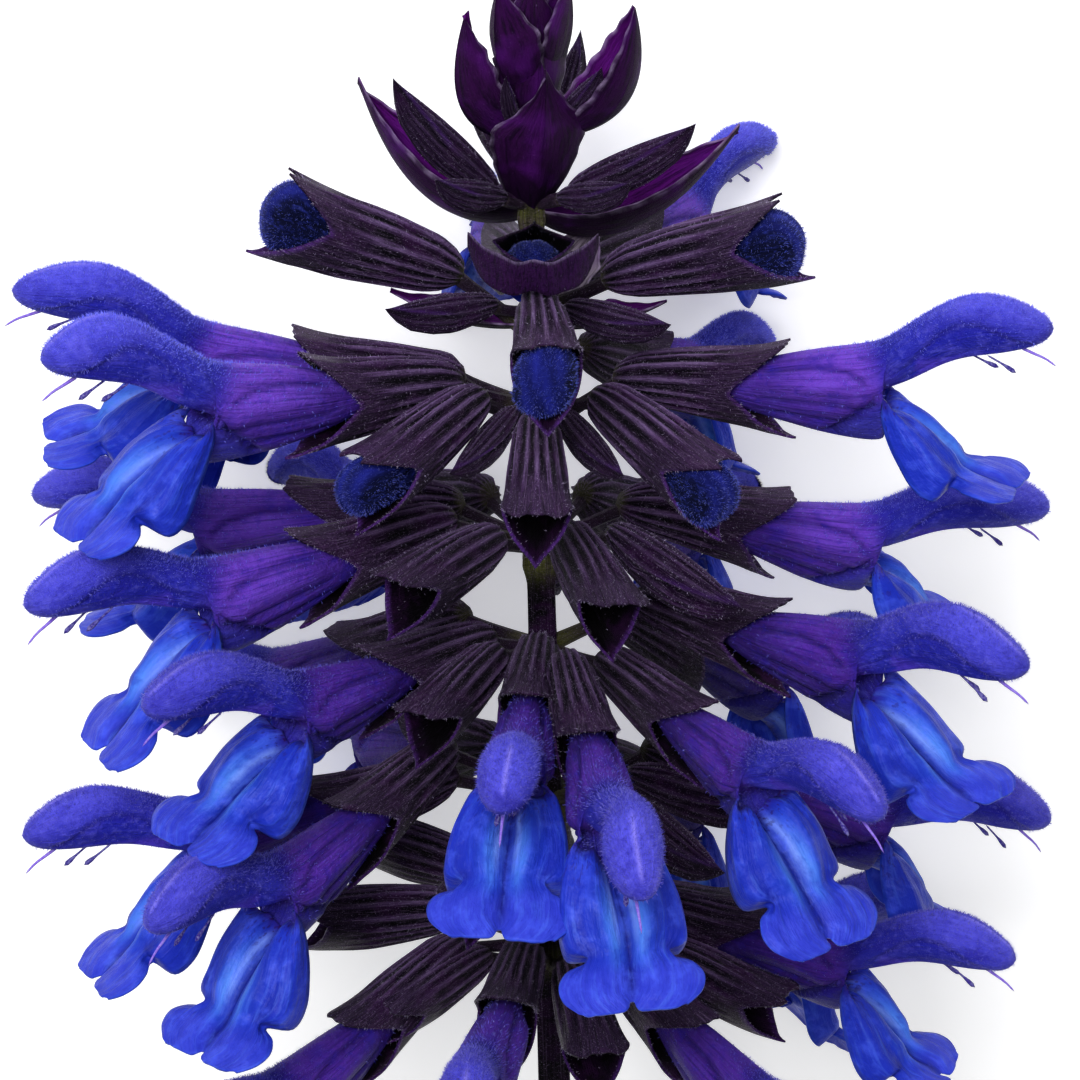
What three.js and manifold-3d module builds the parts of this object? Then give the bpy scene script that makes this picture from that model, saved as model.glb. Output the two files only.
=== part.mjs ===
// A cut flower spike of a perennial salvia, lying on its side.
// Millimetres, +Z up. The square stem runs along Y with its tip at +Y, and the spike rests on the
// lips of its lowest flowers, at z = 0. Each whorl carries two-lipped flowers in dark, ribbed calyces.
import * as THREE from "three";
import { mergeVertices } from "three/addons/utils/BufferGeometryUtils.js";
import Module from "manifold-3d";

const wasm = await Module();
wasm.setup();

// ---------------------------------------------------------------- driving dimensions
const STEM_WIDTH = 3.2; // across the flats of the square stem, at its cut end
const STEM_TIP_WIDTH = 1.5;
const STEM_GROOVE = 0.86; // width across the grooves in its sides, as a share of its width
const STEM_CUT_Y = -86; // the cut end of the bare stem
const STEM_TIP_Y = 47;
const STEM_LEAN = -0.024; // sideways lean of the stem, per millimetre along it
const AXIS_HEIGHT = 36.6; // of the stem above the surface that the spike lies on
const WALL = 0.6; // calyx wall
const SEAT_GAP = 0.35; // between a calyx and the corolla tube or bud that sits in it
const LIP_THICKNESS = 0.7;
const BRACT_THICKNESS = 0.7;
const PEDICEL_RADIUS = 0.62;
const PEDICEL_LENGTH = 9;
const PEDICEL_RISE = 32; // degrees above the plane square to the stem
const PEDICEL_FOOT = [1.4, 0.5]; // x and z, in its calyx, of the point where it ends
const PEDICEL_BEND = 1.5; // how far before that point it starts to bend
const PEDICEL_SIDES = 4;
const PEDICEL_SEGMENTS = 2;
const ROOT_STEP = 1.2; // pedicels leave the stem a little above and below the whorl, by turns
const SIDES = 8; // of a calyx and of a corolla tube: each corner of a calyx is one of its ribs

// Where each whorl stands along the stem, from the tip down.
const WHORL_Y = { w0: 38, w1: 31.1, w2: 20.9, w3: 11.6, w4: -1.8, w5: -12, w6: -27.5, w7: -43.2 };

// Outlines of one flower, along its own axis x from the calyx base. z is dorsal, y is sideways.
// Each row is x, top z, bottom z, half width.
const CALYX = [
  [0.6, 1.6, -0.5, 1.0],
  [3.0, 2.6, -1.3, 1.75],
  [7.0, 2.95, -2.4, 2.2],
  [11.5, 3.1, -3.9, 2.7],
  [14.0, 3.4, -4.6, 2.95],
  [16.4, 3.8, -4.95, 3.0],
];
const CLOSED_CALYX = [
  [1.8, 2.2, -0.9, 1.4],
  [7.0, 3.0, -2.2, 1.95],
  [13.2, 2.9, -1.0, 1.2],
];
const COROLLA = [
  [15.6, 2.6, -3.7, 1.95],
  [24.6, 3.8, -5.5, 2.6],
];
const HOOD = [
  [26.0, 4.1, -0.8, 2.4],
  [30.3, 6.7, 1.6, 2.1],
  [34.0, 8.0, 2.1, 2.6],
  [38.4, 6.9, 2.9, 2.1],
];
const BUD = [
  [13.5, 2.25, -3.35, 1.9],
  [16.2, 2.1, -3.3, 1.8],
];
// Where an open calyx has its rings below the rim, and a bud its first ring.
const CALYX_SHOULDER = 1.8;
const CALYX_BELLY = 7;
const BUD_SEAT = 8;
// Ends of the lofts, on the middle plane: x, z.
const CALYX_BASE = [0, 0.5];
const CALYX_FLOOR = [3.8, 0.5];
const TUBE_SEAT = [6.2, 0.4];
const CLOSED_TIP = [16.4, 2.4];
const TUBE_START = [8.4, 0.3];
const BUD_START = [5.4, 0.5];
const HOOD_TIP = [40.9, 4.6];
const BUD_TIP = [18.2, -0.8];
// How far out the calyx rim reaches, from the dorsal tooth round to the ventral one.
const RIM = [16.4, 14.8, 11.9, 13.4, 15.7];
// The lower lip from the throat to its notched end: x, z, half width, droop of its margins, and
// how far the margins lean outwards.
const LIP = [
  [24.4, -4.6, 2.1, 0.4, 0],
  [28.4, -4.3, 4.6, 4.6, -0.2],
  [30.6, -6.6, 4.3, 4.4, -0.4],
  [32.2, -8.8, 5.4, 0.6, 0.4],
  [34.6, -11.2, 4.6, -0.6, 0.8],
];
const LIP_NOTCH = 1.3; // how far the notch in its end is cut back, half of it along the flower

// The flowers. azimuth is measured round the stem from straight up, positive to +X, and pitch is the
// flower's slope towards the tip. open flowers have a corolla, buds a rounded knob in the calyx,
// empty calyces have dropped theirs and closed ones have not opened. size scales the whole flower,
// roll turns it about its own axis and girth slims a calyx. pedicel is the length of its stalk, rise
// the slope of the stalk and swing how far round the stalk leaves from the flower's own azimuth.
const FLOWERS = [
  { at: "w0", kind: "closed", azimuth: 70, pitch: 45, size: 0.4, pedicel: 3 },
  { at: "w0", kind: "closed", azimuth: -30, pitch: 66, size: 0.32, pedicel: 3 },
  { at: "w1", kind: "bud", azimuth: 1, pitch: 44, size: 0.82, pedicel: 6.6, rise: -60 },
  { at: "w1", kind: "closed", azimuth: -56, pitch: 44, size: 0.95, pedicel: 4.5, girth: 0.76 },
  { at: "w1", kind: "closed", azimuth: 60, pitch: 28, size: 0.88, pedicel: 4.5, girth: 0.78 },
  { at: "w1", kind: "closed", azimuth: -42, pitch: 17, size: 0.58, pedicel: 4 },
  { at: "w1", kind: "closed", azimuth: 44, pitch: 15, size: 0.56, pedicel: 4 },
  { at: "w1", kind: "closed", azimuth: 160, pitch: 40, size: 0.8, pedicel: 4.5 },
  { at: "w1", kind: "closed", azimuth: -155, pitch: 36, size: 0.8, pedicel: 4.5 },
  { at: "w2", kind: "bud", azimuth: -89, pitch: 24, size: 1.05, roll: -9, pedicel: 7.5 },
  { at: "w2", kind: "bud", azimuth: 86, pitch: 19, size: 1.03, roll: 8, pedicel: 7 },
  { at: "w2", kind: "bud", azimuth: 3, pitch: 0, pedicel: 8 },
  { at: "w2", kind: "closed", azimuth: -56, pitch: 3, size: 0.69, pedicel: 4.5 },
  { at: "w2", kind: "closed", azimuth: 52, pitch: -2, size: 0.68, pedicel: 4 },
  { at: "w2", kind: "open", azimuth: 148, pitch: -5, size: 0.9, pedicel: 6 },
  { at: "w2", kind: "open", azimuth: -170, pitch: -12, size: 0.79, pedicel: 6 },
  { at: "w3", kind: "open", azimuth: -83, pitch: 9, size: 0.98, pedicel: 7.4, roll: 4 },
  { at: "w3", kind: "open", azimuth: -60, pitch: 9, roll: -4 },
  { at: "w3", kind: "open", azimuth: 77, pitch: 6, size: 0.96, roll: 5, pedicel: 8 },
  { at: "w3", kind: "bud", azimuth: -41, pitch: -10, pedicel: 8 },
  { at: "w3", kind: "bud", azimuth: 44, pitch: -13, pedicel: 8 },
  { at: "w3", kind: "empty", azimuth: 0, pitch: -12, pedicel: 8, rise: 22 },
  { at: "w3", kind: "closed", azimuth: -30, pitch: -18, size: 0.66, pedicel: 4.2 },
  { at: "w3", kind: "closed", azimuth: 32, pitch: -20, size: 0.66, pedicel: 4 },
  { at: "w3", kind: "open", azimuth: 146, pitch: -23, size: 0.85, pedicel: 8 },
  { at: "w3", kind: "open", azimuth: -118, pitch: -13, size: 0.95, pedicel: 8, rise: 20 },
  { at: "w4", kind: "open", azimuth: -102, pitch: -9, pedicel: 8, roll: 5 },
  { at: "w4", kind: "open", azimuth: -60, pitch: -3, pedicel: 10, roll: -5 },
  { at: "w4", kind: "open", azimuth: 102, pitch: -12, pedicel: 8, roll: -5 },
  { at: "w4", kind: "empty", azimuth: -36, pitch: 2, pedicel: 7 },
  { at: "w4", kind: "empty", azimuth: 18, pitch: -5, pedicel: 8, rise: 38, roll: 8 },
  { at: "w4", kind: "closed", azimuth: 44, pitch: -15, pedicel: 10 },
  { at: "w4", kind: "open", azimuth: 152, pitch: -28, pedicel: 8, rise: 20 },
  { at: "w4", kind: "open", azimuth: -146, pitch: -22, pedicel: 8, rise: 20 },
  { at: "w5", kind: "open", azimuth: -48, pitch: 3.6, size: 0.95, pedicel: 7 },
  { at: "w5", kind: "open", azimuth: 52, pitch: 3.5, pedicel: 11, rise: 38, swing: 24 },
  { at: "w5", kind: "open", azimuth: 36, pitch: -4, size: 0.94, rise: 20 },
  { at: "w5", kind: "open", azimuth: -4.4, pitch: 2, pedicel: 5.8, rise: 36, roll: 3 },
  { at: "w5", kind: "open", azimuth: 8.8, pitch: -6, pedicel: 13.2, rise: 25, roll: -1 },
  { at: "w5", kind: "empty", azimuth: -28, pitch: -3, size: 0.96, rise: 25 },
  { at: "w5", kind: "open", azimuth: 130, pitch: -30, pedicel: 8, rise: 15 },
  { at: "w5", kind: "open", azimuth: -122, pitch: -30, pedicel: 8, rise: 15 },
  { at: "w5", kind: "closed", azimuth: 178, pitch: -10, pedicel: 7 },
  { at: "w6", kind: "open", azimuth: -38, pitch: -8, roll: -4, pedicel: 11.6, rise: 40, swing: -36 },
  { at: "w6", kind: "open", azimuth: -68, pitch: -3, roll: -8, pedicel: 9.8, rise: 29 },
  { at: "w6", kind: "open", azimuth: 97, pitch: -20.5, pedicel: 10, roll: 8 },
  { at: "w6", kind: "empty", azimuth: -20, pitch: -14, pedicel: 7 },
  { at: "w6", kind: "closed", azimuth: 40, pitch: -13, pedicel: 9 },
  { at: "w6", kind: "closed", azimuth: 68, pitch: -8, pedicel: 9 },
  { at: "w6", kind: "open", azimuth: 150, pitch: -36, pedicel: 8, rise: 10 },
  { at: "w6", kind: "open", azimuth: -146, pitch: -22, pedicel: 8, rise: 20 },
  { at: "w6", kind: "closed", azimuth: 180, pitch: -20, pedicel: 7 },
  { at: "w7", kind: "open", azimuth: -9, pitch: 3, pedicel: 10, swing: -6 },
  { at: "w7", kind: "open", azimuth: -44, pitch: -15, pedicel: 10, rise: 23, swing: -14 },
  { at: "w7", kind: "open", azimuth: 35, pitch: -12 },
  { at: "w7", kind: "open", azimuth: 76, pitch: -8, size: 0.92, pedicel: 8.6, rise: 45 },
  { at: "w7", kind: "empty", azimuth: -45, pitch: -4, size: 0.85, pedicel: 8, rise: 19, roll: 7, swing: -4 },
  { at: "w7", kind: "empty", azimuth: 11, pitch: -5, pedicel: 8, rise: 20 },
  { at: "w7", kind: "empty", azimuth: -124, pitch: 2, size: 0.96, rise: 40 },
  { at: "w7", kind: "empty", azimuth: -92, pitch: -3, rise: 28 },
  { at: "w7", kind: "empty", azimuth: 62, pitch: -9, rise: 20 },
  { at: "w7", kind: "open", azimuth: 126, pitch: -26, pedicel: 8, rise: 20 },
  { at: "w7", kind: "closed", azimuth: 178, pitch: -12, pedicel: 8 },
];

// Bracts: ovate and drawn out to a point. A front bract is nearly flat. A side bract is a boat: its
// halves stand up along the keel, and the keel is bowed. fold is the angle of the halves in degrees,
// bow how deep the keel hangs and curl how far the tip turns up, both as shares of the length.
const FLAT = { fold: 22, bow: 0.3, curl: 0.06 };
const BOAT = { fold: 60, bow: 1.1, curl: 0.22 };
// How wide a bract is along its length: share of the length, share of the width.
const BRACT_OUTLINE = [
  [0, 0.2],
  [0.46, 1],
  [0.72, 0.65],
  [1, 0.05],
];
const BRACTS = [
  { at: "w1", azimuth: -117, pitch: 19, roll: 15, length: 18.8, width: 11, form: BOAT },
  { at: "w1", azimuth: 115, pitch: 4, roll: -22, length: 19.6, width: 11, form: BOAT },
  { at: "w1", azimuth: 13, pitch: 63, length: 15.5, width: 10 },
  { at: "w1", azimuth: 178, pitch: 55, length: 15, width: 8.5 },
  { at: "w0", azimuth: -70, pitch: 55, roll: -7, length: 12.9, width: 9, form: BOAT },
  { at: "w0", azimuth: 75, pitch: 43, roll: -30, length: 16, width: 10, form: BOAT },
  { at: "w0", azimuth: 20, pitch: 75, length: 12.8, width: 8.4 },
  { at: "w0", azimuth: 172, pitch: 70, length: 14, width: 7 },
  { at: "w2", azimuth: -100, pitch: 4, length: 13, width: 5.5 },
  { at: "w2", azimuth: 102, pitch: 2, length: 12, width: 5.5 },
  { at: "w2", azimuth: 140, pitch: 38, roll: -20, length: 12, width: 6 },
];
// The shut bud that ends the spike: y along the stem, and its half width there.
const TIP_BUD = [
  [41, 1.5],
  [45, 3.9],
  [49.5, 3.2],
  [54, 0.6],
];

// ---------------------------------------------------------------- helpers
const rad = THREE.MathUtils.degToRad;
const vec = (x, y, z) => new THREE.Vector3(x, y, z);
const stemPoint = (y) => vec(STEM_LEAN * y, y, 0);

// A manifold solid from points and triangles, turned the right way out if it has to be.
function solid(points, triangles) {
  let volume = 0;
  for (const [a, b, c] of triangles) {
    volume += points[a].dot(points[b].clone().cross(points[c]));
  }
  const faces = volume < 0 ? triangles.map(([a, b, c]) => [a, c, b]) : triangles;
  const geometry = new THREE.BufferGeometry().setFromPoints(points).setIndex(faces.flat());
  const merged = mergeVertices(geometry, 1e-4);
  return new wasm.Manifold(
    new wasm.Mesh({
      numProp: 3,
      vertProperties: merged.attributes.position.array,
      triVerts: new Uint32Array(merged.index.array),
    }),
  );
}

// A closed body through rings of points, with a single point at each end.
function loft(start, rings, end) {
  const n = rings[0].length;
  const points = [start, ...rings.flat(), end];
  const last = points.length - 1;
  const triangles = [];
  for (let k = 0; k < n; k++) {
    const next = (k + 1) % n;
    triangles.push([0, 1 + next, 1 + k]);
    for (let i = 0; i < rings.length - 1; i++) {
      const a = 1 + i * n;
      const b = a + n;
      triangles.push([a + k, a + next, b + k], [a + next, b + next, b + k]);
    }
    triangles.push([last - n + k, last - n + next, last]);
  }
  return solid(points, triangles);
}

// A sheet of even thickness under a grid of points (rows of columns), split alike on both faces.
function sheet(grid, thickness) {
  const rows = grid.length;
  const cols = grid[0].length;
  const at = (i, j) => grid[Math.min(Math.max(i, 0), rows - 1)][Math.min(Math.max(j, 0), cols - 1)];
  const under = grid.map((row, i) =>
    row.map((p, j) => {
      const along = at(i + 1, j).clone().sub(at(i - 1, j));
      const across = at(i, j + 1).clone().sub(at(i, j - 1));
      return p.clone().addScaledVector(across.cross(along).normalize(), thickness);
    }),
  );
  const points = [...grid.flat(), ...under.flat()];
  const half = rows * cols;
  const triangles = [];
  for (let i = 0; i < rows - 1; i++) {
    for (let j = 0; j < cols - 1; j++) {
      const a = i * cols + j;
      const [b, c, d] = [a + 1, a + cols, a + cols + 1];
      triangles.push([a, c, b], [b, c, d], [half + a, half + b, half + c], [half + b, half + d, half + c]);
    }
  }
  const rim = [];
  for (let j = 0; j < cols - 1; j++) rim.push(j);
  for (let i = 0; i < rows - 1; i++) rim.push(i * cols + cols - 1);
  for (let j = cols - 1; j > 0; j--) rim.push((rows - 1) * cols + j);
  for (let i = rows - 1; i > 0; i--) rim.push(i * cols);
  rim.forEach((a, k) => {
    const b = rim[(k + 1) % rim.length];
    triangles.push([a, b, half + a], [b, half + b, half + a]);
  });
  return solid(points, triangles);
}

// A pedicel: a thin stalk along a curve, with its ends drawn to a point inside what they join.
function pedicelAlong(curve) {
  const frames = curve.computeFrenetFrames(PEDICEL_SEGMENTS, false);
  const rings = [];
  for (let i = 0; i <= PEDICEL_SEGMENTS; i++) {
    const centre = curve.getPointAt(i / PEDICEL_SEGMENTS);
    const section = [];
    for (let k = 0; k < PEDICEL_SIDES; k++) {
      const angle = (2 * Math.PI * k) / PEDICEL_SIDES;
      section.push(
        centre
          .clone()
          .addScaledVector(frames.normals[i], PEDICEL_RADIUS * Math.cos(angle))
          .addScaledVector(frames.binormals[i], PEDICEL_RADIUS * Math.sin(angle)),
      );
    }
    rings.push(section);
  }
  const past = PEDICEL_RADIUS / 2;
  const start = curve.getPointAt(0).addScaledVector(frames.tangents[0], -past);
  const end = curve.getPointAt(1).addScaledVector(frames.tangents[PEDICEL_SEGMENTS], past);
  return loft(start, rings, end);
}

// The row of an outline at x, between the rows given.
function outlineAt(outline, x) {
  const i = Math.min(
    Math.max(outline.findIndex((row) => row[0] >= x), 1),
    outline.length - 1,
  );
  const [from, to] = [outline[i - 1], outline[i]];
  const t = THREE.MathUtils.clamp((x - from[0]) / (to[0] - from[0]), 0, 1);
  return from.map((value, k) => value + t * (to[k] - value));
}

// One ring of a flower. reach gives x for each step round it, from the dorsal side, and inset
// draws the ring in from the outline.
function ring(outline, reach, inset = 0) {
  const points = [];
  for (let k = 0; k < SIDES; k++) {
    const angle = Math.PI / 2 - (2 * Math.PI * k) / SIDES;
    const x = reach(k);
    const [, top, bottom, half] = outlineAt(outline, x);
    const middle = (top + bottom) / 2;
    const rise = (top - bottom) / 2 - inset;
    points.push(vec(x, (half - inset) * Math.cos(angle), middle + rise * Math.sin(angle)));
  }
  return points;
}
const even = (x) => () => x;
const rimReach = (k) => RIM[Math.min(k, SIDES - k)];
const onAxis = ([x, z]) => vec(x, 0, z);

// ---------------------------------------------------------------- the parts of a flower
// An open calyx: a two-lipped cup, its wall measured at the flower's own size. Round a corolla tube
// it is hollow only as far as the tube reaches.
function openCalyx(size, holdsTube) {
  const wall = WALL / size;
  const rings = [
    ring(CALYX, even(CALYX_SHOULDER)),
    ring(CALYX, even(CALYX_BELLY)),
    ring(CALYX, rimReach),
    ring(CALYX, rimReach, wall),
  ];
  if (holdsTube) return loft(onAxis(CALYX_BASE), rings, onAxis(TUBE_SEAT));
  return loft(onAxis(CALYX_BASE), [...rings, ring(CALYX, even(CALYX_BELLY), wall)], onAxis(CALYX_FLOOR));
}

// A calyx that has not opened: its two lips meet in a flat beak.
function closedCalyx() {
  const rings = CLOSED_CALYX.map((row) => ring(CLOSED_CALYX, even(row[0])));
  return loft(onAxis(CALYX_BASE), rings, onAxis(CLOSED_TIP));
}

// The corolla: a tube that widens to the throat, a hood that arches on over it, and the lower lip.
function corolla(size) {
  const rings = [
    ...COROLLA.map((row) => ring(COROLLA, even(row[0]))),
    ...HOOD.map((row) => ring(HOOD, even(row[0]))),
  ];
  const tubeAndHood = loft(onAxis(TUBE_START), rings, onAxis(HOOD_TIP));
  return tubeAndHood.add(lowerLip(size));
}

function lowerLip(size) {
  const grid = LIP.map(([x, z, half, droop, lean], i) =>
    [-1, -0.5, 0, 0.5, 1].map((v) => {
      const notch = i === LIP.length - 1 && v === 0 ? LIP_NOTCH / 2 : 0;
      return vec(x + lean * v * v - notch, half * v, z - droop * v * v + notch);
    }),
  );
  return sheet(grid, LIP_THICKNESS / size);
}

// The folded corolla of a bud, a rounded knob in the calyx mouth.
function budKnob(size) {
  const seat = (WALL + SEAT_GAP) / size;
  const rings = [
    ring(CALYX, even(BUD_SEAT), seat),
    ...BUD.map((row) => ring(BUD, even(row[0]))),
  ];
  return loft(onAxis(BUD_START), rings, onAxis(BUD_TIP));
}

// ---------------------------------------------------------------- placing
// Directions round the stem: out along azimuth and pitch, with the dorsal side towards the tip.
function outward(azimuth, pitch) {
  const [a, p] = [rad(azimuth), rad(pitch)];
  return vec(Math.sin(a) * Math.cos(p), Math.sin(p), Math.cos(a) * Math.cos(p));
}

function pose(base, azimuth, pitch, roll, size, girth = 1) {
  const out = outward(azimuth, pitch);
  const dorsal = vec(0, 1, 0).addScaledVector(out, -out.y).normalize();
  dorsal.applyAxisAngle(out, rad(-roll));
  const side = dorsal.clone().cross(out);
  return new THREE.Matrix4()
    .makeBasis(out, side, dorsal)
    .scale(vec(size, size * girth, size * girth))
    .setPosition(base);
}
const placed = (body, matrix) => body.transform(matrix.elements);

function flowerParts(flower) {
  const { at, kind, azimuth, pitch, size = 1, girth = 1, roll = 0 } = flower;
  const { pedicel = PEDICEL_LENGTH, rise = PEDICEL_RISE, swing = 0 } = flower;
  const node = stemPoint(WHORL_Y[at]);
  const root = stemPoint(WHORL_Y[at] + (azimuth % 2 === 0 ? ROOT_STEP : -ROOT_STEP));
  const leave = outward(azimuth + swing, rise);
  const base = node.clone().addScaledVector(leave, pedicel);
  const matrix = pose(base, azimuth, pitch, roll, size, girth);
  const bend = base.clone().addScaledVector(leave, -PEDICEL_BEND);
  const foot = onAxis(PEDICEL_FOOT).applyMatrix4(matrix);
  const stalk = pedicelAlong(new THREE.QuadraticBezierCurve3(root, bend, foot));
  const calyx = kind === "closed" ? closedCalyx() : openCalyx(size, kind === "open");
  const dark = stalk.add(placed(calyx, matrix));
  const blue = { open: corolla, bud: budKnob }[kind];
  return { dark, blue: blue && placed(blue(size), matrix) };
}

// A bract: a keeled blade, widest near its middle, with a long point.
function bract({ at, azimuth, pitch, roll = 0, length, width, form = FLAT }) {
  const { fold, bow, curl } = form;
  const grid = BRACT_OUTLINE.map(([t, w]) =>
    [-1, 0, 1].map((v) => {
      const half = (w * width) / 2;
      const keel = length * (curl * t * t - bow * t * (1 - t));
      const raised = half * Math.abs(v) * Math.sin(rad(fold));
      return vec(length * t, half * v * Math.cos(rad(fold)), keel + raised);
    }),
  );
  const matrix = pose(stemPoint(WHORL_Y[at]), azimuth, pitch, roll, 1);
  return placed(sheet(grid, BRACT_THICKNESS), matrix);
}

function tipBud() {
  const rings = TIP_BUD.map(([y, half]) => {
    const points = [];
    for (let k = 0; k < SIDES; k++) {
      const angle = (2 * Math.PI * k) / SIDES;
      points.push(stemPoint(y).add(vec(half * Math.cos(angle), 0, half * Math.sin(angle))));
    }
    return points;
  });
  const [first, last] = [TIP_BUD[0][0], TIP_BUD.at(-1)[0]];
  return loft(stemPoint(first - 1), rings, stemPoint(last + 1));
}

// The square stem, with its edges at the corners and its end cut straight across.
function stem() {
  const stations = [STEM_CUT_Y, STEM_CUT_Y / 2, 0, STEM_TIP_Y];
  const rings = stations.map((y) => {
    const t = (y - STEM_CUT_Y) / (STEM_TIP_Y - STEM_CUT_Y);
    const half = THREE.MathUtils.lerp(STEM_WIDTH, STEM_TIP_WIDTH, t * t) / 2;
    const section = [];
    for (const [sx, sz] of [[1, 1], [-1, 1], [-1, -1], [1, -1]]) {
      const corner = stemPoint(y).add(vec(sx * half, 0, sz * half));
      const groove = (half * STEM_GROOVE) / 2;
      const flat = stemPoint(y).add(vec((sx - sz) * groove, 0, (sz + sx) * groove));
      section.push(corner, flat);
    }
    return section;
  });
  return loft(stemPoint(STEM_CUT_Y), rings, stemPoint(STEM_TIP_Y + 1));
}

// ---------------------------------------------------------------- the spike
const DARK = new THREE.MeshStandardMaterial({ color: 0x2b1b33, roughness: 0.75 });
const BLUE = new THREE.MeshStandardMaterial({ color: 0x3d33bb, roughness: 0.55 });
const NAVY = new THREE.MeshStandardMaterial({ color: 0x141a4a, roughness: 0.8 });

// Everything stands AXIS_HEIGHT above the surface, and what would press into it is flattened there.
const GROUND = (() => {
  const [wide, deep] = [400, 40];
  const box = new THREE.BoxGeometry(wide, wide, deep).translate(0, 0, -deep / 2).toNonIndexed();
  box.deleteAttribute("normal");
  box.deleteAttribute("uv");
  const merged = mergeVertices(box);
  return new wasm.Manifold(
    new wasm.Mesh({
      numProp: 3,
      vertProperties: merged.attributes.position.array,
      triVerts: new Uint32Array(merged.index.array),
    }),
  );
})();
const laidDown = (body) => body.translate(0, 0, AXIS_HEIGHT).subtract(GROUND);

function mesh(name, body, material) {
  const { vertProperties, triVerts } = body.getMesh();
  const geometry = new THREE.BufferGeometry()
    .setAttribute("position", new THREE.BufferAttribute(vertProperties, 3))
    .setIndex(new THREE.BufferAttribute(triVerts, 1));
  geometry.computeVertexNormals();
  const made = new THREE.Mesh(geometry, material);
  made.name = name;
  return made;
}

const spike = new THREE.Group();
let stalk = stem();
const counts = {};
for (const flower of FLOWERS) {
  const { dark, blue } = flowerParts(flower);
  stalk = stalk.add(dark);
  if (!blue) continue;
  const kind = flower.kind === "bud" ? "bud" : "corolla";
  const key = `${kind}_${flower.at}`;
  counts[key] = (counts[key] || 0) + 1;
  const name = `${key}_${counts[key]}`;
  spike.add(mesh(name, laidDown(blue), kind === "bud" ? NAVY : BLUE));
}
for (const one of BRACTS) {
  stalk = stalk.add(bract(one));
}
stalk = stalk.add(tipBud());
// Where calyces crowd together they can close round a crumb of air: only the outer skin is kept.
stalk = stalk.decompose().sort((a, b) => b.volume() - a.volume())[0];
spike.add(mesh("flower_stalk", laidDown(stalk), DARK));

// The origin is the middle of the spike's box, on the surface.
const box = new THREE.Box3().setFromObject(spike);
const centre = box.getCenter(vec(0, 0, 0));
spike.position.set(-centre.x, -centre.y, -box.min.z);

export default spike;
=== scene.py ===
# %% [markdown]
# # A cut flower spike of a perennial salvia
#
# The spike lies on a pale surface and the camera looks down on it. Everything grows on one square
# stem: whorls of dark, ribbed calyces, and in them the blue two-lipped flowers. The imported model
# gives every flower's place. This script repeats the rule that set those places, models each
# kind of piece once, and puts a varied copy of it at every place.
#
# The masters are modelled in millimetres, along X, and the last step turns them into metres in the
# frame. That keeps the edit operators away from sizes near their own merge limits.

# %% Load the frame
import math
import random

import bpy
import numpy as np
from mathutils import Matrix, Vector


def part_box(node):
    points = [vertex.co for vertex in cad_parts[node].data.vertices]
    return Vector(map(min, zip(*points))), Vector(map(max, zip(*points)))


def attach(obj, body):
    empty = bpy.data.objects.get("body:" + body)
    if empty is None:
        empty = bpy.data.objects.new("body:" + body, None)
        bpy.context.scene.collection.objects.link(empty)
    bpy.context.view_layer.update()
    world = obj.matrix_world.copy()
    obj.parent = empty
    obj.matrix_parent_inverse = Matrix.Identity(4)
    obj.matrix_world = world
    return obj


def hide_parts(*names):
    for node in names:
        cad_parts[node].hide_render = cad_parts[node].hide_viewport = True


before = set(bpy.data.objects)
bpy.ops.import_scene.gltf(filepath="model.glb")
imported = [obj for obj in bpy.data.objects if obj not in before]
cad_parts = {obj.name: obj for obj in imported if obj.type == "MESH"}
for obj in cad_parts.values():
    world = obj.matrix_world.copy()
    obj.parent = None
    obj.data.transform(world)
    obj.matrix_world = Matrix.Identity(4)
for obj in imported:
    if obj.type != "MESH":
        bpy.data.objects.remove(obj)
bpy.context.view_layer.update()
MM = 0.001
print("the frame holds", len(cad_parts), "nodes")

# %% [markdown]
# ## Where everything grows
#
# The flowers of a spike stand in whorls, rings round the stem that lie further apart the older they
# are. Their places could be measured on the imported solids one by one. Repeating the driving values of
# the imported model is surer, because every copy then gets its direction and roll as well. They are in
# millimetres: where each whorl stands on the stem, how high the stem lies, and for each flower the
# direction it grows in. `azimuth` goes round the stem from straight up, `pitch` is the slope towards
# the tip, and `size` scales the flower.

# %% Places on the stem
WHORL_Y = {"w0": 38, "w1": 31.1, "w2": 20.9, "w3": 11.6, "w4": -1.8, "w5": -12, "w6": -27.5, "w7": -43.2}
STEM_CUT_Y = -86
STEM_TIP_Y = 47
STEM_LEAN = -0.024
AXIS_HEIGHT = 36.6
STEM_WIDTH = 3.2
STEM_TIP_WIDTH = 1.5
PEDICEL_LENGTH = 9
PEDICEL_RISE = 32
ROOT_STEP = 1.2
# In the flower's own frame: where its pedicel meets the calyx, and the tip of its hood.
CALYX_FOOT = Vector((1.4, 0, 0.5))
HOOD_TIP = Vector((40.9, 0, 4.6))
# How far short of the flower's base the pedicel takes its bend.
PEDICEL_BEND = 1.5


def stem_point(y):
    """A point on the middle of the stem."""
    return Vector((STEM_LEAN * y, y, 0))


def outward(azimuth, pitch):
    """A direction away from the stem."""
    a, p = math.radians(azimuth), math.radians(pitch)
    return Vector((math.sin(a) * math.cos(p), math.sin(p), math.cos(a) * math.cos(p)))


def pose(base, azimuth, pitch, roll=0, size=1):
    """The matrix that stands a flower at base: X runs out along it and Z is its dorsal side."""
    out = outward(azimuth, pitch)
    dorsal = (Vector((0, 1, 0)) - out * out.y).normalized()
    dorsal.rotate(Matrix.Rotation(math.radians(-roll), 3, out))
    side = dorsal.cross(out)
    turn = Matrix((out, side, dorsal)).transposed() * size
    return Matrix.Translation(base) @ turn.to_4x4()


print(len(WHORL_Y), "whorls on a stem from", STEM_CUT_Y, "to", STEM_TIP_Y, "mm")

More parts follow.
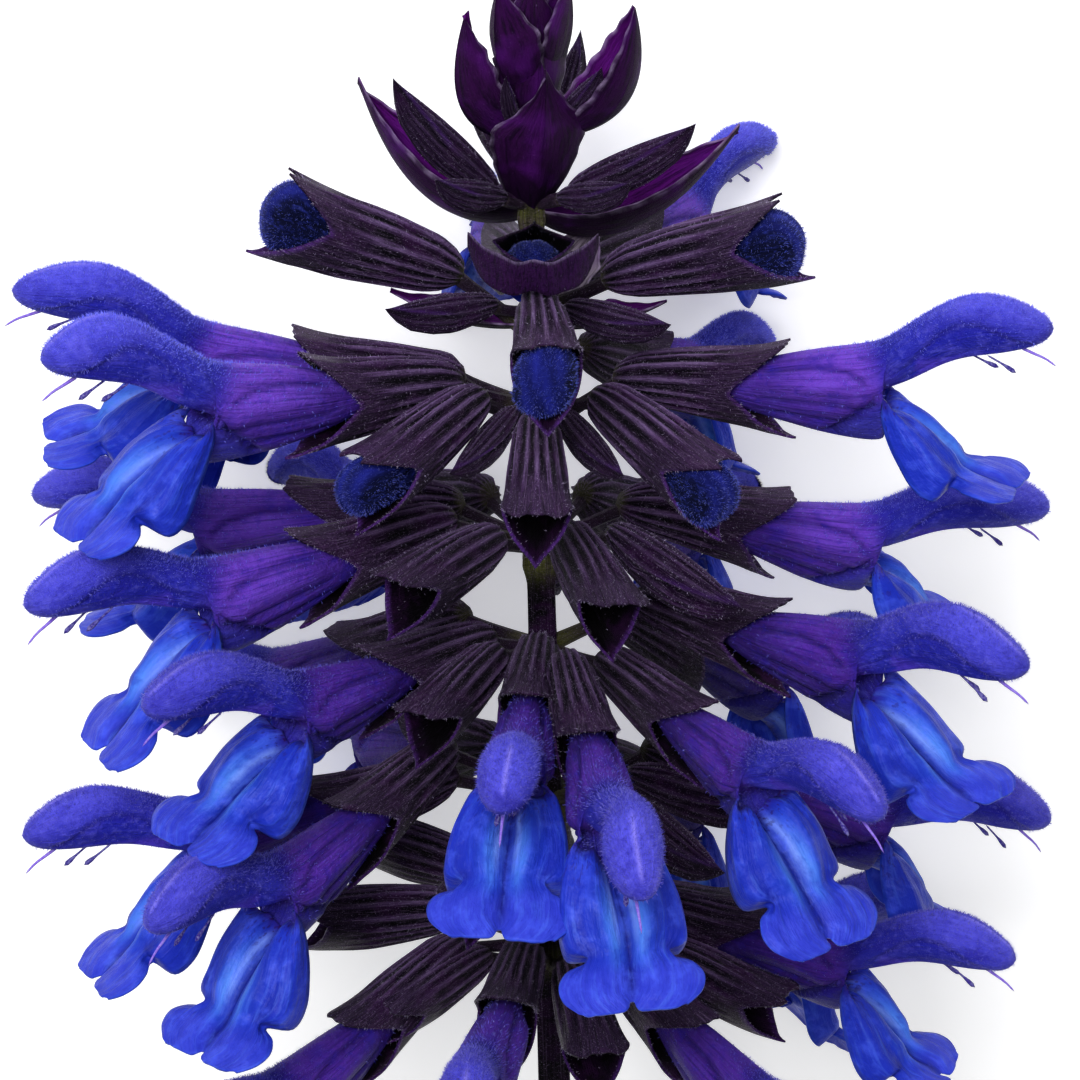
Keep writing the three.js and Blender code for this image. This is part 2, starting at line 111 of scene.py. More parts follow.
# %% [markdown]
# One line for each flower. Open flowers have a corolla, buds a rounded knob in the calyx, empty
# calyces have dropped theirs and closed ones have not opened yet. A rule could deal them out evenly,
# but a real whorl is crowded and gappy, so each flower has its own line and can be turned by itself.

# %% The flowers, whorl by whorl
def flower(
    at, kind, azimuth, pitch, size=1, roll=0, pedicel=PEDICEL_LENGTH, rise=PEDICEL_RISE, swing=0, girth=1
):
    """One flower's place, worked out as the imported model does."""
    root = stem_point(WHORL_Y[at] + (ROOT_STEP if azimuth % 2 == 0 else -ROOT_STEP))
    leave = outward(azimuth + swing, rise)
    base = stem_point(WHORL_Y[at]) + leave * pedicel
    matrix = pose(base, azimuth, pitch, roll, size) @ Matrix.Diagonal((1, girth, girth, 1))
    return {
        "at": at, "kind": kind, "azimuth": azimuth, "size": size, "matrix": matrix,
        "root": root, "bend": base - leave * PEDICEL_BEND, "foot": matrix @ CALYX_FOOT,
    }


FLOWERS = [
    flower("w0", "closed", 70, 45, size=0.4, pedicel=3),
    flower("w0", "closed", -30, 66, size=0.32, pedicel=3),
    flower("w1", "bud", 1, 44, size=0.82, pedicel=6.6, rise=-60),
    flower("w1", "closed", -56, 44, size=0.95, pedicel=4.5, girth=0.76),
    flower("w1", "closed", 60, 28, size=0.88, pedicel=4.5, girth=0.78),
    flower("w1", "closed", -42, 17, size=0.58, pedicel=4),
    flower("w1", "closed", 44, 15, size=0.56, pedicel=4),
    flower("w1", "closed", 160, 40, size=0.8, pedicel=4.5),
    flower("w1", "closed", -155, 36, size=0.8, pedicel=4.5),
    flower("w2", "bud", -89, 24, size=1.05, roll=-9, pedicel=7.5),
    flower("w2", "bud", 86, 19, size=1.03, roll=8, pedicel=7),
    flower("w2", "bud", 3, 0, pedicel=8),
    flower("w2", "closed", -56, 3, size=0.69, pedicel=4.5),
    flower("w2", "closed", 52, -2, size=0.68, pedicel=4),
    flower("w2", "open", 148, -5, size=0.9, pedicel=6),
    flower("w2", "open", -170, -12, size=0.79, pedicel=6),
    flower("w3", "open", -83, 9, size=0.98, pedicel=7.4, roll=4),
    flower("w3", "open", -60, 9, roll=-4),
    flower("w3", "open", 77, 6, size=0.96, roll=5, pedicel=8),
    flower("w3", "bud", -41, -10, pedicel=8),
    flower("w3", "bud", 44, -13, pedicel=8),
    flower("w3", "empty", 0, -12, pedicel=8, rise=22),
    flower("w3", "closed", -30, -18, size=0.66, pedicel=4.2),
    flower("w3", "closed", 32, -20, size=0.66, pedicel=4),
    flower("w3", "open", 146, -23, size=0.85, pedicel=8),
    flower("w3", "open", -118, -13, size=0.95, pedicel=8, rise=20),
    flower("w4", "open", -102, -9, pedicel=8, roll=5),
    flower("w4", "open", -60, -3, pedicel=10, roll=-5),
    flower("w4", "open", 102, -12, pedicel=8, roll=-5),
    flower("w4", "empty", -36, 2, pedicel=7),
    flower("w4", "empty", 18, -5, pedicel=8, rise=38, roll=8),
    flower("w4", "closed", 44, -15, pedicel=10),
    flower("w4", "open", 152, -28, pedicel=8, rise=20),
    flower("w4", "open", -146, -22, pedicel=8, rise=20),
    flower("w5", "open", -48, 3.6, size=0.95, pedicel=7),
    flower("w5", "open", 52, 3.5, pedicel=11, rise=38, swing=24),
    flower("w5", "open", 36, -4, size=0.94, rise=20),
    flower("w5", "open", -4.4, 2, pedicel=5.8, rise=36, roll=3),
    flower("w5", "open", 8.8, -6, pedicel=13.2, rise=25, roll=-1),
    flower("w5", "empty", -28, -3, size=0.96, rise=25),
    flower("w5", "open", 130, -30, pedicel=8, rise=15),
    flower("w5", "open", -122, -30, pedicel=8, rise=15),
    flower("w5", "closed", 178, -10, pedicel=7),
    flower("w6", "open", -38, -8, roll=-4, pedicel=11.6, rise=40, swing=-36),
    flower("w6", "open", -68, -3, roll=-8, pedicel=9.8, rise=29),
    flower("w6", "open", 97, -20.5, pedicel=10, roll=8),
    flower("w6", "empty", -20, -14, pedicel=7),
    flower("w6", "closed", 40, -13, pedicel=9),
    flower("w6", "closed", 68, -8, pedicel=9),
    flower("w6", "open", 150, -36, pedicel=8, rise=10),
    flower("w6", "open", -146, -22, pedicel=8, rise=20),
    flower("w6", "closed", 180, -20, pedicel=7),
    flower("w7", "open", -9, 3, pedicel=10, swing=-6),
    flower("w7", "open", -44, -15, pedicel=10, rise=23, swing=-14),
    flower("w7", "open", 35, -12),
    flower("w7", "open", 76, -8, size=0.92, pedicel=8.6, rise=45),
    flower("w7", "empty", -45, -4, size=0.85, pedicel=8, rise=19, roll=7, swing=-4),
    flower("w7", "empty", 11, -5, pedicel=8, rise=20),
    flower("w7", "empty", -124, 2, size=0.96, rise=40),
    flower("w7", "empty", -92, -3, rise=28),
    flower("w7", "empty", 62, -9, rise=20),
    flower("w7", "open", 126, -26, pedicel=8, rise=20),
    flower("w7", "closed", 178, -12, pedicel=8),
]
counts = {}
for one in FLOWERS:
    if one["kind"] in ("open", "bud"):
        node_kind = "corolla" if one["kind"] == "open" else "bud"
        key = node_kind + "_" + one["at"]
        counts[key] = counts.get(key, 0) + 1
        one["node"] = f"{key}_{counts[key]}"
print(len(FLOWERS), "flowers,", sum("node" in one for one in FLOWERS), "of them with petals")

# %% [markdown]
# Bracts are the leaf-like scales under the upper whorls. A single bract scaled to fit would give every
# one the same fold, so each has a line here: its azimuth, pitch and roll, its length and width, how far
# its halves are folded up along the keel like a boat, and the shade of its hollow side.

# %% The bracts
BRACTS = [
    ("w1", -117, 19, 15, 18.8, 11, 1.0, "magenta"),
    ("w1", 115, 4, -22, 19.6, 11, 1.0, "magenta"),
    ("w1", 13, 63, 0, 15.5, 10, 0.3, "purple"),
    ("w1", 178, 55, 0, 15, 8.5, 0.3, "magenta"),
    ("w0", -70, 55, -7, 12.9, 9, 1.0, "magenta"),
    ("w0", 75, 43, -30, 16, 10, 1.0, "magenta"),
    ("w0", 20, 75, 0, 12.8, 8.4, 0.4, "purple"),
    ("w0", 172, 70, 0, 14, 7, 0.3, "magenta"),
    ("w2", -100, 4, 0, 13, 5.5, 0.3, "magenta"),
    ("w2", 102, 2, 0, 12, 5.5, 0.3, "magenta"),
    ("w2", 140, 38, -20, 12, 6, 0.3, "pale"),
]
print(len(BRACTS), "bracts")

# %% [markdown]
# ## From the stem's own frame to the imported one
#
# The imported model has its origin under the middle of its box, and the stem's own frame has it on the
# stem. The step between them could be a fixed number. Measured from two facts of the frame, it can't
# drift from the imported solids: the cut end of the stem, and how far left the leftmost hood reaches.

# %% The step into the frame
leftmost = next(one for one in FLOWERS if one.get("node") == "corolla_w3_1")
frame_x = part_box("corolla_w3_1")[0].x / MM - (leftmost["matrix"] @ HOOD_TIP).x
frame_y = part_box("flower_stalk")[0].y / MM - STEM_CUT_Y
SPIKE_PLACE = Vector((frame_x, frame_y, AXIS_HEIGHT))
TO_FRAME = Matrix.Scale(MM, 4) @ Matrix.Translation(SPIKE_PLACE)
print("the stem's frame lies at", [round(v, 2) for v in SPIKE_PLACE], "mm")

# %% [markdown]
# ## The camera
#
# It looks down on the lying spike from 360 mm, tilted 25 degrees towards the tip, so the front flowers
# are seen end on and the side flowers in profile. A short lens close by would swell the front flowers.
# A long one keeps the whorls in proportion, and its length follows from the frame's width in pixels.

# %% Camera
CAMERA_DISTANCE = 360
CAMERA_TILT = math.radians(25)
SENSOR = 36
FRAME_PIXELS = 1080
FOCAL_PIXELS = 4000
FOCAL_LENGTH = SENSOR * FOCAL_PIXELS / FRAME_PIXELS

camera_data = bpy.data.cameras.new("view")
camera_data.sensor_width = SENSOR
camera_data.lens = FOCAL_LENGTH
camera_data.clip_start = 0.01
camera_data.clip_end = 10
camera = bpy.data.objects.new("view", camera_data)
bpy.context.scene.collection.objects.link(camera)
backward = Vector((0, math.sin(CAMERA_TILT), math.cos(CAMERA_TILT)))
upward = Vector((0, math.cos(CAMERA_TILT), -math.sin(CAMERA_TILT)))
camera.matrix_world = Matrix.Translation((SPIKE_PLACE + backward * CAMERA_DISTANCE) * MM) @ Matrix(
    (upward.cross(backward), upward, backward)
).transposed().to_4x4()
bpy.context.scene.camera = camera
print("the lens is", round(FOCAL_LENGTH, 1), "mm")

# %% [markdown]
# ## Small tools for the modelling
#
# Most organs here are tubes: a calyx, a corolla, a bud, a stalk. A cylinder pulled about by hand would
# do for one of them, but its rings soon stop lining up. So each tube starts as one circle that is
# extruded ring by ring along X, a step apart. Lips and bracts are sheets, and start as a grid whose
# rows and columns lie at whole numbers. An extrusion leaves its faces in an order that changes from
# run to run. The points keep theirs, so the faces are dealt out again by their points, and what is
# drawn over them later, such as hairs, falls the same way each time.

# %% Helpers: a rolled tube and a net
def only(ob):
    """Makes ob the one selected, active object."""
    bpy.ops.object.select_all(action="DESELECT")
    ob.select_set(True)
    bpy.context.view_layer.objects.active = ob
    return ob


def in_order(ob):
    """Deals the faces of a mesh out in a fixed order, each from its first point."""
    points = [tuple(vertex.co) for vertex in ob.data.vertices]
    faces = []
    for face in ob.data.polygons:
        corners = list(face.vertices)
        first = corners.index(min(corners))
        faces.append(corners[first:] + corners[:first])
    ob.data.clear_geometry()
    ob.data.from_pydata(points, [], sorted(faces))
    ob.data.update()


def rolled(name, sides, rings):
    """A tube of rings, a step apart along X, with nothing in its ends."""
    bpy.ops.object.select_all(action="DESELECT")
    bpy.ops.mesh.primitive_circle_add(vertices=sides, radius=1, rotation=(0, math.pi / 2, 0))
    bpy.ops.object.transform_apply(location=False, rotation=True, scale=False)
    ob = bpy.context.object
    ob.name = ob.data.name = name
    bpy.ops.object.mode_set(mode="EDIT")
    bpy.ops.mesh.select_all(action="SELECT")
    for _ in range(rings - 1):
        bpy.ops.mesh.extrude_region_move(TRANSFORM_OT_translate={"value": (1, 0, 0)})
    bpy.ops.object.mode_set(mode="OBJECT")
    in_order(ob)
    return ob


def net(name, rows, columns):
    """A flat net of points: its rows lie at whole numbers of X and its columns of Y."""
    bpy.ops.object.select_all(action="DESELECT")
    bpy.ops.mesh.primitive_grid_add(x_subdivisions=rows - 1, y_subdivisions=columns - 1, size=1)
    ob = bpy.context.object
    ob.name = ob.data.name = name
    bpy.ops.transform.resize(value=(rows - 1, columns - 1, 1))
    bpy.ops.transform.translate(value=((rows - 1) / 2, (columns - 1) / 2, 0))
    bpy.ops.object.transform_apply(location=True, rotation=True, scale=True)
    return ob


# %% [markdown]
# `shape` moves every point of a tube to its place on the organ, by the ring it is in and the angle it
# has on it, which is how ribs, folds and teeth get into the form itself. Rings drawn to a point are
# merged and the faces turned out, because an open or inside-out end shades wrongly. Modifiers are
# applied at once, so each master is a plain mesh that can be copied and bent point by point.

# %% Helpers: shaping, closing and joining
MERGE_DISTANCE = 1e-3


def shape(ob, place):
    """Moves each point of a rolled tube: place takes its ring and its angle from the dorsal side.

    How far along and how far round each point lies, each from 0 to 1, is kept as `tissue`.
    """
    last = max(round(vertex.co.x) for vertex in ob.data.vertices)
    tissue = []
    for vertex in ob.data.vertices:
        ring = round(vertex.co.x)
        angle = math.atan2(vertex.co.y, vertex.co.z)
        vertex.co = place(ring, angle)
        tissue.append((ring / last, abs(angle) / math.pi, 0))
    keep(ob, "tissue", "FLOAT_VECTOR", tissue)
    ob.data.update()


def close(ob):
    """Merges the rings that were drawn to a point, and turns the faces out."""
    only(ob)
    bpy.ops.object.mode_set(mode="EDIT")
    bpy.ops.mesh.select_all(action="SELECT")
    bpy.ops.mesh.remove_doubles(threshold=MERGE_DISTANCE)
    bpy.ops.mesh.normals_make_consistent(inside=False)
    bpy.ops.object.mode_set(mode="OBJECT")


def apply(ob, kind, **settings):
    """Adds a modifier to ob and applies it."""
    only(ob)
    modifier = ob.modifiers.new(kind, kind)
    for name, value in settings.items():
        setattr(modifier, name, value)
    bpy.ops.object.modifier_apply(modifier=modifier.name)


def smooth_faces(ob):
    """Shades the whole surface smooth."""
    only(ob)
    bpy.ops.object.shade_smooth()


def joined(name, pieces):
    """Joins pieces into one object."""
    only(pieces[0])
    for piece in pieces[1:]:
        piece.select_set(True)
    bpy.ops.object.join()
    pieces[0].name = pieces[0].data.name = name
    return pieces[0]


# %% [markdown]
# Folds could be pressed in with a brush, but a brush can't be repeated on the next flower. Instead,
# numbers say where a fold runs. They are quickest for a whole mesh at once: its points as one array,
# soft steps and bells between zones, and the distance from a fold line drawn on a flower's side.

# %% Helpers: points and soft steps
def points_of(ob):
    """The points of a mesh, one row each."""
    co = np.empty(len(ob.data.vertices) * 3)
    ob.data.vertices.foreach_get("co", co)
    return co.reshape(-1, 3)


def normals_of(ob):
    """The normal at each point."""
    found = np.empty(len(ob.data.vertices) * 3)
    ob.data.vertices.foreach_get("normal", found)
    return found.reshape(-1, 3)


def set_points(ob, co):
    """Writes the points back."""
    ob.data.vertices.foreach_set("co", co.astype(np.float32).ravel())
    ob.data.update()


def step(a, b, x):
    """0 before a, 1 after b, and a soft rise between them."""
    t = np.clip((x - a) / (b - a), 0, 1)
    return t * t * (3 - 2 * t)


def bell(middle, width, x):
    """1 at the middle, falling away over the width."""
    return np.exp(-(((x - middle) / width) ** 2))


def from_line(x, z, line):
    """The distance of points (x, z) from a line through a few points."""
    nearest = np.full(len(x), 1e9)
    for (ax, az), (bx, bz) in zip(line, line[1:]):
        dx, dz = bx - ax, bz - az
        t = np.clip(((x - ax) * dx + (z - az) * dz) / (dx * dx + dz * dz), 0, 1)
        nearest = np.minimum(nearest, np.hypot(x - ax - t * dx, z - az - t * dz))
    return nearest


def on_curve(points, s):
    """A point on a smooth curve through points; s counts them from 0."""
    last = len(points) - 1
    i = min(int(s), last - 1)
    u = s - i
    a, b, c, d = (Vector(points[min(max(k, 0), last)]) for k in (i - 1, i, i + 1, i + 2))
    return 0.5 * (2 * b + (c - a) * u + (2 * a - 5 * b + 4 * c - d) * u**2 + (3 * b - a - 3 * c + d) * u**3)


print("halfway up a soft step lies", float(step(0, 1, 0.5)), "and at its quarter", float(step(0, 1, 0.25)))

# %% [markdown]
# Colour could be painted on by hand. Here each point of a mesh keeps its own colour, worked out from
# where it lies on the organ, so a dark flute or a pale rim follows the form exactly and goes with
# every copy. The fourth number beside the colour says how mealy the skin is there.

# %% Helpers: colours kept on the points
def keep(ob, name, kind, values):
    """Keeps numbers on the points of a mesh, for the materials to read."""
    attribute = ob.data.attributes.get(name) or ob.data.attributes.new(name, kind, "POINT")
    field = {"FLOAT_VECTOR": "vector", "FLOAT_COLOR": "color"}[kind]
    attribute.data.foreach_set(field, np.asarray(values, np.float32).ravel())


def kept(ob, name):
    """Reads kept vectors or colours back, one row for each point."""
    attribute = ob.data.attributes[name]
    field, width = {"FLOAT_VECTOR": ("vector", 3), "FLOAT_COLOR": ("color", 4)}[attribute.data_type]
    found = np.empty(len(ob.data.vertices) * width, np.float32)
    attribute.data.foreach_get(field, found)
    return found.reshape(-1, width)


def keep_tint(ob, colour, dust=1.0):
    """Keeps a colour for each point, how mealy it is, and its place in the organ in millimetres."""
    rows = np.column_stack([np.clip(colour, 0, 1), np.ones(len(colour)) * dust])
    keep(ob, "tint", "FLOAT_COLOR", rows)
    keep(ob, "grown", "FLOAT_VECTOR", points_of(ob))


def linear(*rgb):
    """A colour as seen on a screen, 0 to 255, as the linear values that shaders take."""
    c = np.array(rgb) / 255
    return np.where(c <= 0.04045, c / 12.92, ((c + 0.055) / 1.055) ** 2.4)


def all_of(ob, colour):
    """One colour, repeated for each point of ob."""
    return np.tile(colour, (len(ob.data.vertices), 1))


def blend_to(base, colour, share):
    """Moves each row of base towards colour by its share."""
    return base + (colour - base) * np.clip(share, 0, 1)[:, None]


# The powers of red, green and blue in the painted shade on a tube: it takes more green than blue.
TUBE_SHADE_POWERS = np.array([1, 1.4, 0.8])


def darkened_as_shade(ob, share, tube=False):
    """Paints shade on a piece, or on its tube alone: darkens its kept colours to a share of what they were.
    """
    tint = kept(ob, "tint")
    shares = np.full((len(tint), 1), share)
    if tube:
        hood = step(0.35, 0.6, kept(ob, "tissue")[:, :1])
        shares = (share + (1 - share) * hood) ** TUBE_SHADE_POWERS
    tint[:, :3] *= shares
    keep(ob, "tint", "FLOAT_COLOR", tint)
    return ob


print("half grey on a screen is", round(float(linear(128)[0]), 3), "as light")

# %% [markdown]
# ## The calyx
#
# The calyx is the dark cup that each flower sits in. It is a ribbed tube whose upper lip is a roof
# with two small teeth beside its ridge, and whose lower lip is a keeled point. On each side the rim
# runs back to a deep notch. The teeth could be cut from a plain tube, but a cut leaves stray edges
# across the ribs. All of the form is a matter of where a point lies along and round the tube, so one
# rolled tube is placed by a formula, with the teeth given as a reach for each angle.

# %% Calyx: outline and reach
# x, then how high, how low and half how wide the cup is there.
CALYX = [
    (0.0, 0.9, 0.1, 0.35),
    (0.35, 1.6, -0.35, 0.95),
    (1.2, 2.2, -0.95, 1.5),
    (3.0, 2.8, -1.7, 1.95),
    (7.0, 3.1, -2.7, 2.3),
    (11.5, 3.2, -3.9, 2.7),
    (14.0, 3.4, -4.6, 2.9),
    (16.4, 3.7, -4.95, 3.0),
    (18.4, 4.0, -5.1, 3.0),
]
# How far out the rim reaches, by the angle in degrees from the dorsal ridge.
OPEN_REACH = [
    (0, 16.4), (7, 16.2), (15, 16.4), (28, 15.8), (60, 13.8), (90, 11.4),
    (115, 12.9), (140, 14.0), (168, 15.4), (180, 16.6),
]
BUD_REACH = [
    (0, 15.6), (7, 15.8), (14, 16.9), (27, 16.1), (60, 14.2), (90, 12.0),
    (115, 13.4), (140, 15.0), (168, 16.6), (180, 17.6),
]
EMPTY_REACH = [
    (0, 15.9), (7, 15.8), (18, 16.4), (34, 16.1), (54, 15.3), (76, 14.0),
    (92, 12.8), (120, 13.4), (150, 14.6), (170, 15.6), (180, 16.6),
]
YOUNG_REACH = [(0, 13.7), (9, 12.9), (30, 12.3), (60, 11.7), (90, 11.4), (130, 11.9), (180, 12.4)]
print("a cup reaches from", min(r for _, r in OPEN_REACH), "to", max(r for _, r in OPEN_REACH), "mm")

# %% [markdown]
# The ribs are a wave round the tube. A plain wave looks turned on a lathe, and separate ribs laid on
# top would have seams. So the wave itself is sharpened into narrow ribs with wide flutes, spaced
# unevenly, and it fades towards foot and rim.

# %% Calyx: the ribbed sheet
RIBS = 15
RIB_CROWDING = 1.4
RIB_SHARPNESS = 2.2
RIB_MIDDLE = 0.3
RIB_DEPTH = 0.42
CALYX_SIDES = 120
CALYX_RINGS = 24
CALYX_BASE = (0, 0, 0.5)
# The teeth beside the ridge and the keel below: degrees from the ridge, half width and height.
CORNER_TOOTH = 16
TOOTH_WIDTH = 9
TOOTH_RISE = 0.15
KEEL_WIDTH = 14
KEEL_DROP = 0.5


def row_at(outline, x):
    """The row of an outline at x."""
    xs = [row[0] for row in outline]
    return [float(np.interp(x, xs, [row[k] for row in outline])) for k in range(1, len(outline[0]))]


def rib_wave(angle):
    """1 on a rib and 0 in a flute; the ribs are spaced a little unevenly."""
    return (0.5 + 0.5 * np.cos(RIBS * angle + RIB_CROWDING * np.sin(3 * angle))) ** RIB_SHARPNESS


def section_point(outline, x, angle, square, rib, wide=1.0):
    """A point on an outline's section at x.

    square flattens its upper half into a roof with corners; below 0 it makes a lens with a peak.
    """
    top, bottom, half = row_at(outline, x)
    cos, sin = math.cos(angle), math.sin(angle)
    power = 1 - (square if cos > 0 else min(0.4 * square, 0))
    high, side = math.copysign(abs(cos) ** power, cos), math.copysign(abs(sin) ** power, sin)
    z = (top + bottom) / 2 + (top - bottom) / 2 * high + rib * cos
    return Vector((x, half * side * wide + rib * sin, z))


def calyx_sheet(name, reach, wide, shut, roof):
    """The wall of a calyx as one sheet.

    wide opens its mouth, shut brings the lips together and roof squares off the upper one.
    """
    ob = rolled(name, CALYX_SIDES, CALYX_RINGS)

    def place(ring, angle):
        degrees = abs(math.degrees(angle))
        t = ring / (CALYX_RINGS - 1)
        x = float(np.interp(degrees, *zip(*reach))) * t**1.15
        if ring == 0:
            return Vector(CALYX_BASE)
        strength = float(step(0.03, 0.16, t) * (1 - step(0.6, 0.92, t)))
        rib = (float(rib_wave(angle)) - RIB_MIDDLE) * RIB_DEPTH * strength * (0.8 + 0.4 * math.sin(5 * angle))
        found = section_point(CALYX, x, angle, roof * t**3, rib, 1 + wide * t**3)
        tooth = math.exp(-(((degrees - CORNER_TOOTH) / TOOTH_WIDTH) ** 2)) * t**8
        keel = math.exp(-(((degrees - 180) / KEEL_WIDTH) ** 2)) * t**8
        found.z += TOOTH_RISE * tooth - KEEL_DROP * keel
        found.z *= 1 - 0.4 * shut * t**3
        found.z += shut * math.sin(angle) ** 2 * t**3
        return found

    shape(ob, place)
    close(ob)
    return ob


print(RIBS, "ribs stand", RIB_DEPTH, "mm out of the flutes")

# %% [markdown]
# A real calyx is as thin as stiff paper. A bare sheet would have no edge at the rim, and a second tube
# inside would have to follow every tooth. The Solidify modifier does that by itself, inwards, so the
# ribs stay on the outside. Which side a point is on decides its colour: black flutes between
# grey-violet ribs outside, and nearly black inside, with a purple lining on the lower lip. The black of
# the flutes is partly painted shade and the pale rib crests partly painted highlight, the outside is
# painted darker towards the underside, and the nearly black inside is painted shade.

# %% Calyx: wall and colours
CALYX_WALL = 0.22
# The near-black of the flutes is partly painted shade, the pale violet of the rib crests partly painted
# highlight.
CALYX_DARK = linear(9, 7, 14)
CALYX_FLANK = linear(62, 32, 80)
CALYX_RIB = linear(160, 130, 190)
CALYX_PURPLE = linear(66, 26, 84)
# Painted shade: the nearly black inside of a cup.
CALYX_INSIDE_SHADE = linear(7, 3, 9)
CALYX_RIM = linear(92, 50, 140)
CALYX_GREEN = linear(92, 92, 50)


def calyx_colour(ob, along, turn):
    """The outside of a calyx: black flutes, grey-violet ribs, plainer towards the rim; painted shade in the
    flutes and towards the underside, painted highlight on the rib crests.
    """
    plain = step(0.6, 0.92, along)
    ribs = rib_wave(turn * math.pi) * (1 - plain)
    lit = np.clip(1.6 * ribs, 0, 1) + 0.6 * plain
    # Painted shade: flank and rib crests fade into the dark towards the underside.
    colour = blend_to(all_of(ob, CALYX_DARK), CALYX_FLANK, lit * (1 - 0.8 * turn))
    colour = blend_to(colour, CALYX_RIB, (0.7 * ribs**2 + 0.08 * plain) * (1 - 0.9 * turn))
    return blend_to(colour, CALYX_GREEN, 0.7 * (1 - step(0.02, 0.1, along)))


def calyx(name, reach, wide=0.0, shut=0.0, roof=0.3):
    """A calyx with its inner wall, colours and the numbers that the material reads."""
    ob = calyx_sheet(name, reach, wide, shut, roof)
    apply(ob, "SOLIDIFY", thickness=CALYX_WALL, offset=-1)
    co = points_of(ob)
    along, turn, _ = kept(ob, "tissue").T
    middle = np.interp(co[:, 0], [row[0] for row in CALYX], [(row[1] + row[2]) / 2 for row in CALYX])
    radial = np.stack([np.zeros(len(co)), co[:, 1], co[:, 2] - middle], 1)
    inside = (normals_of(ob) * radial).sum(1) < 0
    outer = calyx_colour(ob, along, turn)
    lining = 0.4 * step(0.8, 1, along) * step(0.5, 0.8, turn)
    inner = blend_to(all_of(ob, CALYX_INSIDE_SHADE), CALYX_PURPLE, lining)
    colour = np.where(inside[:, None], inner, outer)
    colour = blend_to(colour, CALYX_RIM, 0.7 * step(0.96, 1, along) * step(0.3, 0.6, turn))
    keep_tint(ob, colour, np.where(inside, 0.05, 1.0))
    smooth_faces(ob)
    return ob


open_calyx = calyx("open_calyx", OPEN_REACH)
empty_calyx = calyx("empty_calyx", EMPTY_REACH, wide=0.06, shut=1.0)
bud_calyx = calyx("bud_calyx", BUD_REACH, wide=0.1, shut=0.45)
print("open calyx:", len(open_calyx.data.polygons), "faces")

# %% [markdown]
# The youngest open calyx is short, with a lens of a mouth. Under its mouth lies a crescent of smooth
# purple leaf that ends in an ear on each side. It could be cut out of a disc, but its pale rim has to
# follow its upper curve. So it is a small net laid out between an upper and a lower curve.

# %% The young calyx and its collar
# Painted shade: the outer wall of the young cup is darkened to this share of its colour.
YOUNG_CUP_PAINTED_SHADE = 0.35
COLLAR_NET = (9, 33)
COLLAR_PLACE = 12.5
COLLAR_HALF_WIDTH = 6.7
COLLAR_RIPPLES = 11
# Each curve: its height in the middle, its rise to the ears and how late it rises.
COLLAR_TOP = (-2.1, 3.7, 2.2)
COLLAR_BOTTOM = (-4.9, 5.7, 4.5)
COLLAR_PURPLE = linear(50, 18, 68)
COLLAR_EDGE = linear(150, 130, 176)


def ear_curve(curve, across):
    """The height of one of the collar's curves, from its middle out to its ears."""
    middle, rise, power = curve
    return middle + rise * abs(across) ** power


def collar():
    """The crescent under the mouth of the young calyx."""
    ob = net("collar", *COLLAR_NET)
    tissue = []
    for vertex in ob.data.vertices:
        down = vertex.co.x / (COLLAR_NET[0] - 1)
        across = 2 * vertex.co.y / (COLLAR_NET[1] - 1) - 1
        top, bottom = ear_curve(COLLAR_TOP, across), ear_curve(COLLAR_BOTTOM, across)
        ripple = 0.2 * math.sin(COLLAR_RIPPLES * across) * (1 - down)
        x = COLLAR_PLACE - 1.6 * down**1.5 - 0.9 * across**2 + ripple
        z = top + (bottom - top) * down + 0.3 * math.sin(COLLAR_RIPPLES * across + 2) * (1 - abs(across))
        vertex.co = Vector((x, COLLAR_HALF_WIDTH * across, z))
        tissue.append((down, across, 0))
    keep(ob, "tissue", "FLOAT_VECTOR", tissue)
    ob.data.update()
    edge = 1 - step(0, 0.14, np.array(tissue)[:, 0])
    keep_tint(ob, blend_to(all_of(ob, COLLAR_PURPLE), COLLAR_EDGE, 0.8 * edge), 0.1)
    apply(ob, "SOLIDIFY", thickness=CALYX_WALL, offset=0)
    smooth_faces(ob)
    return ob


young_cup = darkened_as_shade(calyx("cup", YOUNG_REACH, wide=0.6, shut=1.0, roof=-0.9), YOUNG_CUP_PAINTED_SHADE)
young_calyx = joined("young_calyx", [young_cup, collar()])
print("young calyx:", len(young_calyx.data.polygons), "faces")

# %% [markdown]
# A calyx that has not opened is the same tube drawn into a beak. Its two lips meet along a seam on
# each side, a groove from the tip to past the middle with a pale edge. Two lips modelled apart would
# gape or cross, so the beak is one closed skin, and the seam is a line that it is drawn in along. The
# groove is painted dark as painted shade, and its pale upper edge is pale hairs and a painted highlight.

# %% The closed calyx
CLOSED_CALYX = [
    (0.0, 0.9, 0.1, 0.3),
    (0.4, 1.5, -0.3, 0.8),
    (1.8, 2.1, -0.85, 1.35),
    (4.5, 2.65, -1.6, 1.75),
    (7.0, 2.9, -1.95, 1.9),
    (10.0, 2.95, -1.6, 1.75),
    (13.2, 2.85, -0.6, 1.2),
    (15.0, 2.75, 0.7, 0.7),
    (16.2, 2.75, 2.0, 0.3),
    (16.8, 2.8, 2.8, 0.0),
]
SEAM = [(6.5, 0.2), (10.0, 1.0), (13.5, 1.7), (16.8, 2.7)]
SEAM_DEPTH = 0.34
SEAM_WIDTH = 0.42
CLOSED_RINGS = 22
CLOSED_SIDES = 80
CLOSED_RIB_DEPTH = 0.24


